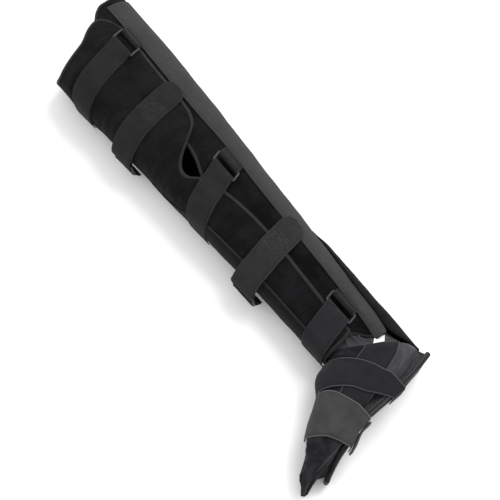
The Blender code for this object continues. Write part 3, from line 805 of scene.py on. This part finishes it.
def pocket_surface(side):
    """The outside of one side's pocket, over the wrap."""
    right = side == "right"

    def place(u, v, lift=0.0):
        along = part_way(POCKET_SPANS[side], v)
        x = along * WRAP_LENGTH
        edge = through(STAYS, side, along)
        wide = STAY_WIDTH[side] * (through(STAYS, "right_width", along) if right else 1.0)
        far = arc_angle(x, edge, wide, -1.0 if right else 1.0)
        k = 1 - (1 - 2 * u) ** 2
        from_seam = min(u, 1 - u) * wide - SEAM_INSET
        seam = math.exp(-(from_seam / SEAM_SPREAD) ** 2) * SEAM_DEPTH
        rise = POCKET_CROWNS[side] * k ** 0.7 - seam if lift > -STAY_THICKNESS / 2 else 0.0
        rise += 0.0003 * noise.noise(Vector((x / 0.02, u * 3, 1.0))) * k if right else 0.0
        height = STAY_SEAT + STAY_THICKNESS + lift + max(rise, -SEAM_DEPTH)
        return rolled(x, part_way((edge, far), u), height, right)

    return place


# The left pocket takes the copy of the pocket cloth that is darkened with painted shade.
for side, looks in (("right", POCKET), ("left", SHADED_POCKET)):
    pocket = soft_sheet("pocket_" + side, shares(26, 0.5), shares(200),
                        pocket_surface(side), STAY_THICKNESS, looks)
    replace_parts(pocket, "stay_pocket_" + side)
    print(pocket.name, "faces:", len(pocket.data.polygons))

# %% [markdown]
# ## Straps, loops and tabs
#
# Each strap is sewn on at one side, runs to its loop on the other, turns back round the
# loop's bar and fastens on itself. The path below is that route: heights over the leg and
# lengths round it. A curve with a flat profile would twist on it, so a grid is laid along
# the path and made into a band by its own normals.

# %% The route of a strap
# Heights over the wrap: of the strap's lower run, the loop's wire, the upper run over the
# wire, and the upper run where it has settled on the lower one.
LOWER = SEAT_GAP + STRAP_THICKNESS / 2
WIRE = SEAT_GAP * 2 + STRAP_THICKNESS + LOOP_WIRE / 2
UPPER = SEAT_GAP * 3 + STRAP_THICKNESS * 1.5 + LOOP_WIRE
STACKED = LOWER + STRAP_THICKNESS + SEAT_GAP
BEND = (UPPER - LOWER) / 2
STEP = 0.004
SETTLE_STEPS = 8


def hairpin(bar, far_low, far_high, sign, turns=14):
    """In low to the loop's bar, round it and back on top, as lengths and heights."""
    path = [(length, LOWER) for length in even(far_low, bar, STEP)]
    for k in range(1, turns):
        a = math.pi * k / turns
        path.append((bar - sign * BEND * math.sin(a), LOWER + BEND * (1 - math.cos(a))))
    settled = bar + sign * min(STRAP_SETTLE, abs(far_high - bar) * 0.8)
    for k in range(SETTLE_STEPS):
        t = k / SETTLE_STEPS
        path.append((bar + (settled - bar) * t, UPPER + (STACKED - UPPER) * ease(t)))
    return path + [(length, STACKED) for length in even(settled, far_high, STEP)]


def rounded_end(path):
    """Adds places to a path's last stretch, so that its end can be rounded."""
    last, height = path[-1]
    way = 1 if last > path[-2][0] else -1
    kept = [place for place in path[:-1] if way * (last - place[0]) > STRAP_END_RADIUS]
    for share in (1.0, 0.85, 0.7, 0.55, 0.42, 0.3, 0.2, 0.12, 0.06, 0.02, 0.0):
        kept.append((last - way * STRAP_END_RADIUS * share, height))
    return kept


def girth(x):
    """The length round the leg by whole degrees, from the right side over the top."""
    return gone_along([leg_point(x, k, sunk=False) for k in range(250)])


def length_at(table, angle):
    """The length round the leg at an angle, by its girth table."""
    k = int(angle)
    return table[k] + (table[k + 1] - table[k]) * (angle - k)


def angle_at(table, length):
    """The angle at a length round the leg, by its girth table."""
    length = max(length, 0.0)
    k = max(i for i in range(len(table) - 1) if table[i] <= length)
    return k + (length - table[k]) / (table[k + 1] - table[k])


def over_pocket(x, angle):
    """How much higher a strap runs where it crosses the left pocket."""
    edge = through(STAYS, "left", x / WRAP_LENGTH)
    return (STAY_THICKNESS + STAY_SEAT) * ease((angle - edge + 7) / 4)


def band_grid(path, x_at, rise, table, rounded=False, columns=8):
    """The points of a band along a path, with a slight ripple in its edges."""
    stop, grid = path[-1][0], []
    for k, (length, height) in enumerate(path):
        half = STRAP_WIDTH / 2
        if rounded and k > len(path) / 2 and abs(stop - length) < STRAP_END_RADIUS:
            short = 1 - abs(stop - length) / STRAP_END_RADIUS
            half -= STRAP_END_RADIUS * (1 - math.sqrt(max(1 - short * short, 0.0)))
        angle = angle_at(table, length)
        row = []
        for c in range(columns + 1):
            share = c / columns * 2 - 1
            ripple = 0.0002 * noise.noise(Vector((length / 0.012, share * 2, height * 900)))
            x = x_at(length) + share * half + ripple
            row.append(rolled(x, angle, height + rise(length) + ripple, False))
        grid.append(row)
    return grid


def wire(name, line, looks):
    """A round wire along a closed line."""
    curve = bpy.data.curves.new(name, "CURVE")
    curve.dimensions = "3D"
    curve.bevel_depth, curve.bevel_resolution = LOOP_WIRE / 2, 4
    spline = curve.splines.new("POLY")
    spline.points.add(len(line) - 1)
    for point, place in zip(spline.points, line):
        point.co = (*(place + SHIFT), 1)
    spline.use_cyclic_u = True
    curve.materials.append(looks)
    made = bpy.data.objects.new(name, curve)
    bpy.context.scene.collection.objects.link(made)
    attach(made, "root")
    return made


def rounded_loop(length, width, corner, steps=8, along=10):
    """The middle line of a rounded rectangle, with places along its bars."""
    corners = []
    for turn, (cx, cy) in enumerate(((1, 1), (-1, 1), (-1, -1), (1, -1))):
        arc = [math.pi / 2 * (turn + k / steps) for k in range(steps + 1)]
        corners.append([(cx * (length / 2 - corner) + corner * math.cos(a),
                         cy * (width / 2 - corner) + corner * math.sin(a)) for a in arc])
    line = []
    for here, after in zip(corners, corners[1:] + corners[:1]):
        bar = list(zip(here[-1], after[0]))
        line += here + [tuple(part_way(ends, k / along) for ends in bar) for k in range(1, along)]
    return line


# %% The five leg straps
# Each strap's dark and pale grey, and where its rough patch is, as shares of the tail
# from the loop's bar on.
STRAP_GREYS = {
    "thigh_top": ((0.0063, 0.0063, 0.0069), (0.0192, 0.0192, 0.0205), None),
    "thigh_low": ((0.0069, 0.0069, 0.0072), (0.0211, 0.0211, 0.0217), (0.52, 0.76)),
    "knee": ((0.0075, 0.0075, 0.0081), (0.0236, 0.0236, 0.0248), (0.74, 0.96)),
    "calf": ((0.0104, 0.0104, 0.011), (0.031, 0.031, 0.0322), (0.60, 0.82)),
    "ankle": ((0.0081, 0.0081, 0.0092), (0.026, 0.026, 0.0285), (0.72, 0.97)),
}
TAIL_STITCH = 0.006  # from a tail's end to its line of stitches


def leg_strap(name):
    """One leg strap with its loop and the tab that holds the loop."""
    share, skew, side, loop_at, tail_at, stand, loop_share = LEG_STRAPS[name]
    dark, pale, patch = STRAP_GREYS[name]
    x_loop, x_far = share * WRAP_LENGTH, (share + skew) * WRAP_LENGTH
    table = girth(x_loop)
    right = side == "right"
    sign = 1 if right else -1
    middle = length_at(table, loop_at)
    wide = LOOP_WIDTH * loop_share - LOOP_WIRE
    if right:
        x_low = x_far + STRAP_WIDTH / 2
        far = length_at(table, through(STAYS, "left", x_low / WRAP_LENGTH)) - CLEARANCE
        held = length_at(table, through(STAYS, "right", share)) + CLEARANCE
    else:
        far = length_at(table, through(STAYS, "right", x_far / WRAP_LENGTH)) + CLEARANCE
        held = middle + wide / 2 + TAB_LENGTH

    def x_at(length):
        return x_loop + (x_far - x_loop) * (length - middle) / (far - middle)

    def rise(length):
        if right:
            return 0.0
        away = max(0.0, 1 - abs(length - middle) / LOOP_STAND_REACH)
        return stand * LOOP_WIDTH * ease(away) + over_pocket(x_at(length), angle_at(table, length))

    path = hairpin(middle + sign * wide / 2, far, length_at(table, tail_at), sign)
    path = path if right else rounded_end(path)
    grid = band_grid(path, x_at, rise, table, not right)
    cut = gone_along([row[len(row) // 2] for row in grid])[-1]
    turned = abs(far - middle)
    place = patch and tuple(part_way((turned, cut), k) for k in patch)
    ends = (cut - TAIL_STITCH,) if right else ()
    looks = strap_webbing("webbing_" + name, dark, pale, place, ends=ends)
    band = web(name + "_strap", grid, looks)
    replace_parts(band, "strap_" + name)
    line = []
    for p, q in rounded_loop(LOOP_LENGTH - LOOP_WIRE, wide, LOOP_CORNER):
        length = middle + q
        line.append(rolled(x_at(length) + p, angle_at(table, length), WIRE + rise(length), False))
    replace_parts(wire(name + "_loop", line, PLASTIC), "loop_" + name)
    tab = band_grid(hairpin(middle - sign * wide / 2, held, held, -sign), x_at, rise, table)
    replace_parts(web(name + "_tab", tab, TAB_WEBBING), "tab_" + name)
    return cut


TAB_WEBBING = strap_webbing("webbing_tabs", (0.0062, 0.0062, 0.0068), (0.0192, 0.0192, 0.0205),
                            ends=(0.005,))
strap_lengths = {name: leg_strap(name) for name in LEG_STRAPS}
print("strap lengths, m:", {name: round(length, 3) for name, length in strap_lengths.items()})

# %% [markdown]
# ## The panel, the foot and the sole plate
#
# The foot wrap is thin laminate that folds at the ankle and is drawn to a point at the
# toes. A padded panel joins it to the calf, and a padded plate stands under the sole. All
# three are sheets over their own surface functions, like the wrap.

# %% The calf panel
def panel_surface(u, v, lift=0.0):
    """The panel's outside. It starts thin at the calf, so that it meets the wrap there."""
    x = part_way((PANEL_EDGES["at"][0] * WRAP_LENGTH, HEEL.x - PANEL_SHORT), v)
    along = x / WRAP_LENGTH
    wide = STAY_WIDTH["right"] * through(STAYS, "right_width", along)
    under = arc_angle(x, through(STAYS, "right", along), wide + CLEARANCE, -1.0)
    front = min(under, through(PANEL_EDGES, "front", along))
    back = through(PANEL_EDGES, "back", along)
    crown = 0.0012 * (1 - (1 - 2 * u) ** 2) * (1 - (1 - 2 * v) ** 6) if lift > -0.001 else 0.0
    full = 0.12 + 0.88 * ease(v / 0.16)
    height = STAY_SEAT + (PANEL_THICKNESS + lift) * full + crown
    return rolled(x, part_way((back, front), u), height)


panel = soft_sheet("panel", shares(30), shares(70), panel_surface, PANEL_THICKNESS, LAMINATE)
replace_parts(panel, "calf_panel")
bind("panel_binding_stop", panel_surface, PANEL_THICKNESS, "stop", 40, reach=0.004)

# %% The foot wrap, with its folds and pleats
FOOT_ROWS = len(FOOT_SECTIONS["at"]) - 1
FOLD_HEIGHT, PLEAT_HEIGHT, SOFT_HEIGHT = 0.0022, 0.0046, 0.0011
PLEATS_START, DRAWN_START, DRAWN_SHARE = 8.2, 9.6, 0.5
RISE_UNDER_STRAPS, RISE_ELSEWHERE = 0.0009, 0.004


def foot_surface(u, v, lift=0.0):
    """The foot's outside, with folds that the straps flatten, and pleats at the toe."""
    row, angle = v * FOOT_ROWS, u * 360 - 90
    place = foot_point(row, angle)
    top = ease((math.sin(math.radians(angle)) + 0.35) / 0.5)
    strapped = ease((row - 0.6) / 1.0) * ease((8.4 - row) / 0.8)
    fold = 1 - abs(noise.noise(Vector((place.x / 0.030, place.y / 0.018, place.z / 0.03)))) * 2.2
    fold = FOLD_HEIGHT * fold * fold * fold if fold > 0 else 0.0
    pleat = PLEAT_HEIGHT * math.sin(math.radians(angle * 5 + row * 22))
    pleat *= ease((row - PLEATS_START) / 1.6)
    soft = SOFT_HEIGHT * noise.noise(place / 0.045)
    wall = ease((row - 0.02) / 0.5)
    rise = (fold * (1 - 0.85 * strapped) * wall + pleat + soft * (1 - 0.5 * strapped)) * top
    most = RISE_UNDER_STRAPS if strapped > 0.5 else RISE_ELSEWHERE
    place = foot_point(row, angle, lift + min(rise, most))
    middle = (foot_point(row, 0) + foot_point(row, 180)) / 2
    drawn = DRAWN_SHARE * ease((row - DRAWN_START) / 1.5)
    return Vector((part_way((place.x, middle.x), drawn), part_way((place.y, middle.y), drawn), place.z))


foot = soft_sheet("foot", [k / 120 for k in range(120)], shares(170),
                  foot_surface, FOOT_WALL, FOOT_LAMINATE, closed=True)
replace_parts(foot, "foot_wrap", "toe_wrap")
for side, name in (("start", "ankle"), ("stop", "toe")):
    bind(name + "_mouth_binding", foot_surface, FOOT_WALL, side, 120, reach=0.005)
print("foot faces:", len(foot.data.polygons))

# %% [markdown]
# ## Thin cloth that the solids leave out
#
# A flap over the toes, three gussets, a patch on the heel and a small white tab are cut
# from thin cloth and sewn on. They have no solid of their own, so each is built as a sheet
# over its own surface, and its width and length are measured on that surface, along its
# longest row and column. They could be draped by a cloth simulation, but most of their
# edges are sewn down, and a folded surface between those edges shows much the same and
# never changes from run to run.

# %% Measure a thin sheet, and find a place on the foot
def cut_sheet(surface):
    """Measures a sheet's width and length, along its longest row and column, and keeps neither."""
    ticks = shares(24)
    width = max(gone_along([surface(u, v, 0.0) for u in ticks])[-1] for v in ticks)
    length = max(gone_along([surface(u, v, 0.0) for v in ticks])[-1] for u in ticks)


def on_foot(row, angle, lift):
    """A place on the foot's folded outside, by row and angle."""
    return foot_surface((angle + 90) / 360, row / FOOT_ROWS, lift)


# %% [markdown]
# The toe's opening is closed by a flap that folds over it. Its two bound edges, of pale tape
# with a painted highlight, make the pale lines that run to the toe. It narrows towards the
# toe, as the foot does, and it rests on the foot, so its places are the foot's with a lift
# and a slow wave.

# %% The flap that folds over the toes
FLAP_ROWS, FLAP_WALL, FLAP_LIFT = (7.9, 11.0), 0.0018, 0.0026
FLAP_SIDES = ((40, 86), (160, 132))  # angles of each edge, at the strap and at the toe


def flap_surface(u, v, lift=0.0):
    """The toe flap's outside, from its edge on the sole's side to the other."""
    angle = part_way([part_way(edge, v) for edge in FLAP_SIDES], u)
    wave = 0.0012 * noise.noise(Vector((u * 2.5, v * 4, 7.0)))
    return on_foot(part_way(FLAP_ROWS, v), angle, FLAP_LIFT + lift + wave)


toe_flap = soft_sheet("toe_flap", shares(36), shares(50), flap_surface, FLAP_WALL, FOOT_LAMINATE)
cut_sheet(flap_surface)
for side in ("left", "right"):
    bind("toe_flap_binding_" + side, flap_surface, FLAP_WALL, side, 50, 0.0028, 0.0006, PALE_BINDING)

# %% [markdown]
# Gussets of slack cloth close the gaps between the wrap, the foot and the plate. Each
# hangs between two sewn lines. A loft joins the lines point to point and lets the cloth
# between them sag into folds, which are the ridges of a noise.

# %% Thin cloth that closes the ankle, the heel and the toe's side
THIN_WALL = 0.0010
ANKLE_ROW, ANKLE_ANGLES, ANKLE_SHARES = 0.25, (40, 152), (0.845, 0.993)
HEEL_ROWS, HEEL_ANGLE = (1.3, 6.6), 38
TOE_ROWS, TOE_ANGLE = (7.4, 10.3), 60
PLATE_INSIDE = -SOLE_THICKNESS + 0.001


def loft(name, start, stop, rows, folds, looks):
    """Cloth from the line start(t) to the line stop(t), slack and folded between them."""

    def place(u, v, lift):
        a, b = start(v), stop(v)
        slack = math.sin(math.pi * u) ** 0.7
        crease = 1 - abs(noise.noise(Vector((v * 7, u * 1.3, folds * 900)))) * 2.4
        point = a.lerp(b, u)
        point.z += lift + slack * (folds * max(crease, 0) ** 2 - folds * 0.6)
        return point

    made = soft_sheet(name, shares(20), shares(rows), place, THIN_WALL, looks)
    cut_sheet(place)


def plate_share(row):
    """The place along the sole plate that lies beside a foot row."""
    return (-SOLE_START - through(FOOT_SECTIONS, "sole_y", row) * FOOT_LENGTH) / SOLE_LENGTH


def heel_line(t):
    """The plate's inside beside the heel gusset's line on the foot."""
    return sole_point(max(plate_share(part_way(HEEL_ROWS, t)), 0.0), 0.985, PLATE_INSIDE)


def toe_line(t):
    """The plate's inside beside the toe gusset's line on the foot."""
    return sole_point(min(plate_share(part_way(TOE_ROWS, t)), 0.985), 0.93, PLATE_INSIDE)


loft("ankle_gusset", lambda t: foot_point(ANKLE_ROW, part_way(ANKLE_ANGLES, t), 0.0002),
     lambda t: wrap_surface(part_way(ANKLE_SHARES, t), 0.972, -WRAP_WALL - 0.001), 60, 0.0045, LINING)
loft("heel_gusset", lambda t: foot_point(part_way(HEEL_ROWS, t), HEEL_ANGLE, -0.0005),
     heel_line, 70, 0.0022, LINING)
loft("toe_gusset", lambda t: on_foot(part_way(TOE_ROWS, t), TOE_ANGLE, -0.0005),
     toe_line, 50, 0.0026, FOOT_LAMINATE)

# %% [markdown]
# A patch of lining is stretched over the heel, under the strap that runs along the foot,
# with a pale tape on its free edge. In front of it the photograph shows a small bright
# four-sided spot. It may be a cloth label or the ground seen through a gap. It is built
# as a blank white tab, placed by its four corners, because it catches the eye.

# %% The heel's patch and the white tab
PATCH_ROWS, PATCH_WALL = (0.3, 4.9), 0.0014
TAB_WALL = 0.0006
TAB_CORNERS = ((Vector((0.7860, 0.0090, 0.0835)), Vector((0.7948, 0.0264, 0.0811))),
               (Vector((0.7805, 0.0166, 0.0821)), Vector((0.7873, 0.0342, 0.0805))))


def heel_patch_surface(u, v, lift=0.0):
    """The patch's outside. It reaches under the long strap and is rounded at the heel."""
    row = part_way(PATCH_ROWS, v)
    first = 20 + 48 * max(0.0, 1 - v / 0.32) ** 2
    return on_foot(row, part_way((first, through(CROSS_BAND, "near", row) + 12), u), 0.0012 + lift)


def white_tab_surface(u, v, lift=0.0):
    """The tab's upper face, a little arched."""
    near, far = (pair[0].lerp(pair[1], u) for pair in TAB_CORNERS)
    place = near.lerp(far, v)
    place.z += lift + 0.0009 * math.sin(math.pi * u) * (0.4 + 0.6 * v)
    return place


WHITE_CLOTH = thin_lining("white_tab_cloth", (0.60, 0.60, 0.61), (0.82, 0.82, 0.83))
white_tab = soft_sheet("white_tab", shares(16), shares(10), white_tab_surface, TAB_WALL, WHITE_CLOTH)
cut_sheet(white_tab_surface)
heel_patch = soft_sheet("heel_patch", shares(24), shares(60), heel_patch_surface, PATCH_WALL, LINING)
cut_sheet(heel_patch_surface)
bind("heel_patch_binding", heel_patch_surface, PATCH_WALL, "left", 60, looks=PALE_BINDING)

# %% [markdown]
# On the real splint the plate is most likely a stiff board in a padded cover. Its outside
# bulges a little between the bound edges, and a slow wave keeps it from looking machined.

# %% The sole plate
def plate_surface(u, v, lift=0.0):
    """The plate's outside, by shares of its length and height."""
    crown = 0.0016 * (1 - (1 - 2 * v) ** 4) * (1 - (1 - 2 * u) ** 8)
    wave = 0.0007 * noise.noise(Vector((u * 9, v * 3, 4.0)))
    return sole_point(u, v, lift + (crown + wave if lift > -0.001 else 0.0))


plate = soft_sheet("plate", shares(90), shares(30), plate_surface, SOLE_THICKNESS, FOOT_LAMINATE)
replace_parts(plate, "sole_plate")
bind_round("plate_binding_", plate_surface, SOLE_THICKNESS, (70,) * 4, 0.0003, reach=0.005)
print("plate faces:", len(plate.data.polygons))

# %% [markdown]
# ## The foot's straps
#
# One strap lies along the top of the foot. The other two come up the outside of the sole
# plate, cross the foot over it and go down the instep side. Their corner over the plate's
# edge is rounded by cutting corners, which is enough for a single soft fold.

# %% Straps over the foot
BAND_ANGLES = (58, 202)
PLATE_ROWS = 6  # grid rows up the plate and over its edge, before those on the foot
BAND_COLUMNS = 10


def rounded(grid, times=2):
    """A grid whose columns have their corners cut."""
    for _ in range(times):
        cut = [grid[0]]
        for before, here in zip(grid, grid[1:]):
            cut.append([a.lerp(b, 0.25) for a, b in zip(before, here)])
            cut.append([a.lerp(b, 0.75) for a, b in zip(before, here)])
        grid = cut + [grid[-1]]
    return grid


def band_row(rows, angle, share):
    """The foot row of a thread that lies a share of the way across a strap."""
    return part_way((through(rows, "first", angle), through(rows, "last", angle)), share)


def plate_places(row, lift):
    """A strap's places at one foot row: four up the plate and two over its top edge."""
    places = []
    for k in range(PLATE_ROWS):
        height = BAND_FOOT_SHARE + (1 - BAND_FOOT_SHARE) * k / 4 if k < 4 else 1.0
        places.append(sole_point(plate_share(row), height, lift))
    places[4].z -= LOWER
    places[5] += Vector((-LOWER, 0, lift))
    return places


def foot_band(name, rows, looks):
    """A strap up the sole plate, over the foot and down the instep side."""
    lift = LOWER + BAND_LIFT
    columns = []
    for c in range(BAND_COLUMNS + 1):
        share = c / BAND_COLUMNS
        over = [foot_point(band_row(rows, angle, share), angle, lift)
                for angle in even(*BAND_ANGLES, 6)]
        columns.append(plate_places(band_row(rows, 0, share), lift) + over)
    grid = [list(line) for line in zip(*columns)]
    band = web(name + "_strap", rounded(grid), looks)
    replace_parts(band, "strap_" + name)
    return gone_along(columns[BAND_COLUMNS // 2])[-1]


INSTEP_WEBBING = strap_webbing("webbing_instep", (0.0077, 0.0077, 0.0092), (0.0223, 0.0223, 0.0255),
                               edge_light=3.2)
FOREFOOT_WEBBING = strap_webbing("webbing_forefoot", (0.0236, 0.0236, 0.0249),
                                 (0.0642, 0.0642, 0.0662), edge_light=1.5)
CROSS_WEBBING = strap_webbing("webbing_cross", (0.007, 0.007, 0.0086), (0.0217, 0.0217, 0.0249),
                              edge_light=3.6)
foot_lengths = {
    "instep": foot_band("instep", INSTEP_BAND, INSTEP_WEBBING),
    "forefoot": foot_band("forefoot", FOREFOOT_BAND, FOREFOOT_WEBBING),
}
cross_grid = []
for step in range(61):
    row = part_way((CROSS_BAND["at"][0], CROSS_BAND["at"][-1]), step / 60)
    sides = through(CROSS_BAND, "near", row), through(CROSS_BAND, "far", row)
    cross_grid.append([foot_point(row, part_way(sides, c / BAND_COLUMNS), LOWER + 2 * SEAT_GAP)
                       for c in range(BAND_COLUMNS + 1)])
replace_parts(web("cross_strap", cross_grid, CROSS_WEBBING), "strap_cross")

# %% The forefoot strap's loop, against the plate's outside
loop_lift = LOWER + BAND_LIFT + STRAP_THICKNESS / 2 + 2 * SEAT_GAP + LOOP_WIRE / 2
middle, up = FOREFOOT_LOOP_SHARES
loop_line = []
for p, q in rounded_loop(LOOP_LENGTH - LOOP_WIRE, LOOP_WIDTH * 0.8 - LOOP_WIRE, LOOP_CORNER):
    foot_of = sole_point(middle - p / SOLE_LENGTH, 0, loop_lift)
    loop_line.append(foot_of + Vector((0, 0, up * SOLE_HEIGHT + q)))
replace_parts(wire("forefoot_loop", loop_line, PLASTIC), "loop_forefoot")
print("foot strap lengths, m:", {name: round(length, 3) for name, length in foot_lengths.items()})

# %% [markdown]
# ## The stage
#
# The photograph is a cut-out on white, lit softly from above, stronger from its right.
# The camera looks down steeply, from beyond the foot, as it was fitted to the straps. A
# bright world gives the soft light, and two square lamps give it a direction.

# %% Floor, lights and camera
WORLD_STRENGTH = 1.1
KEY_SIZE, KEY_POWER = 1.4, 52
FILL_SIZE, FILL_POWER = 2.0, 7
LENS, SENSOR_WIDTH = 57.6, 36  # in mm: a focal length of 1.6 times the picture's width
CAMERA_PLACE = (0.950, -0.390, 1.375)

floor_mesh = bpy.data.meshes.new("floor")
floor_mesh.from_pydata([(-9, -9, 0), (9, -9, 0), (9, 9, 0), (-9, 9, 0)], [], [(0, 1, 2, 3)])
floor = bpy.data.objects.new("floor", floor_mesh)
bpy.context.scene.collection.objects.link(floor)
paper = Finish("floor_paper")
paper.shader.inputs["Base Color"].default_value = (0.86, 0.86, 0.87, 1)
paper.shader.inputs["Roughness"].default_value = 0.95
floor_mesh.materials.append(paper.material)

world = bpy.data.worlds.new("studio")
world.use_nodes = True
world.node_tree.nodes["Background"].inputs["Color"].default_value = (1.0, 1.0, 1.0, 1)
world.node_tree.nodes["Background"].inputs["Strength"].default_value = WORLD_STRENGTH
bpy.context.scene.world = world
bpy.context.scene.view_settings.view_transform = "Standard"

RIGHT = Vector((0.6307, 0.7760, 0.0))
UP = Vector((-0.7143, 0.5806, 0.3907))
VIEW = Vector((-0.3032, 0.2464, -0.9205))


def soft_box(name, place, size, power):
    """A large square lamp that looks at the middle of the splint."""
    lamp = bpy.data.lights.new(name, "AREA")
    lamp.energy, lamp.size = power, size
    made = bpy.data.objects.new(name, lamp)
    made.location = place
    made.rotation_euler = (-Vector(place)).to_track_quat("-Z", "Y").to_euler()
    bpy.context.scene.collection.objects.link(made)


soft_box("key_light", RIGHT * 1.3 + UP * 1.1 + Vector((0, 0, 1.6)), KEY_SIZE, KEY_POWER)
soft_box("fill_light", RIGHT * -1.5 + Vector((0, 0, 1.5)), FILL_SIZE, FILL_POWER)

camera_data = bpy.data.cameras.new("camera")
camera_data.lens, camera_data.sensor_width = LENS, SENSOR_WIDTH
camera = bpy.data.objects.new("camera", camera_data)
bpy.context.scene.collection.objects.link(camera)
rows = [(RIGHT[k], UP[k], -VIEW[k], CAMERA_PLACE[k] + SHIFT[k]) for k in range(3)]
camera.matrix_world = Matrix((*rows, (0, 0, 0, 1)))
bpy.context.scene.camera = camera
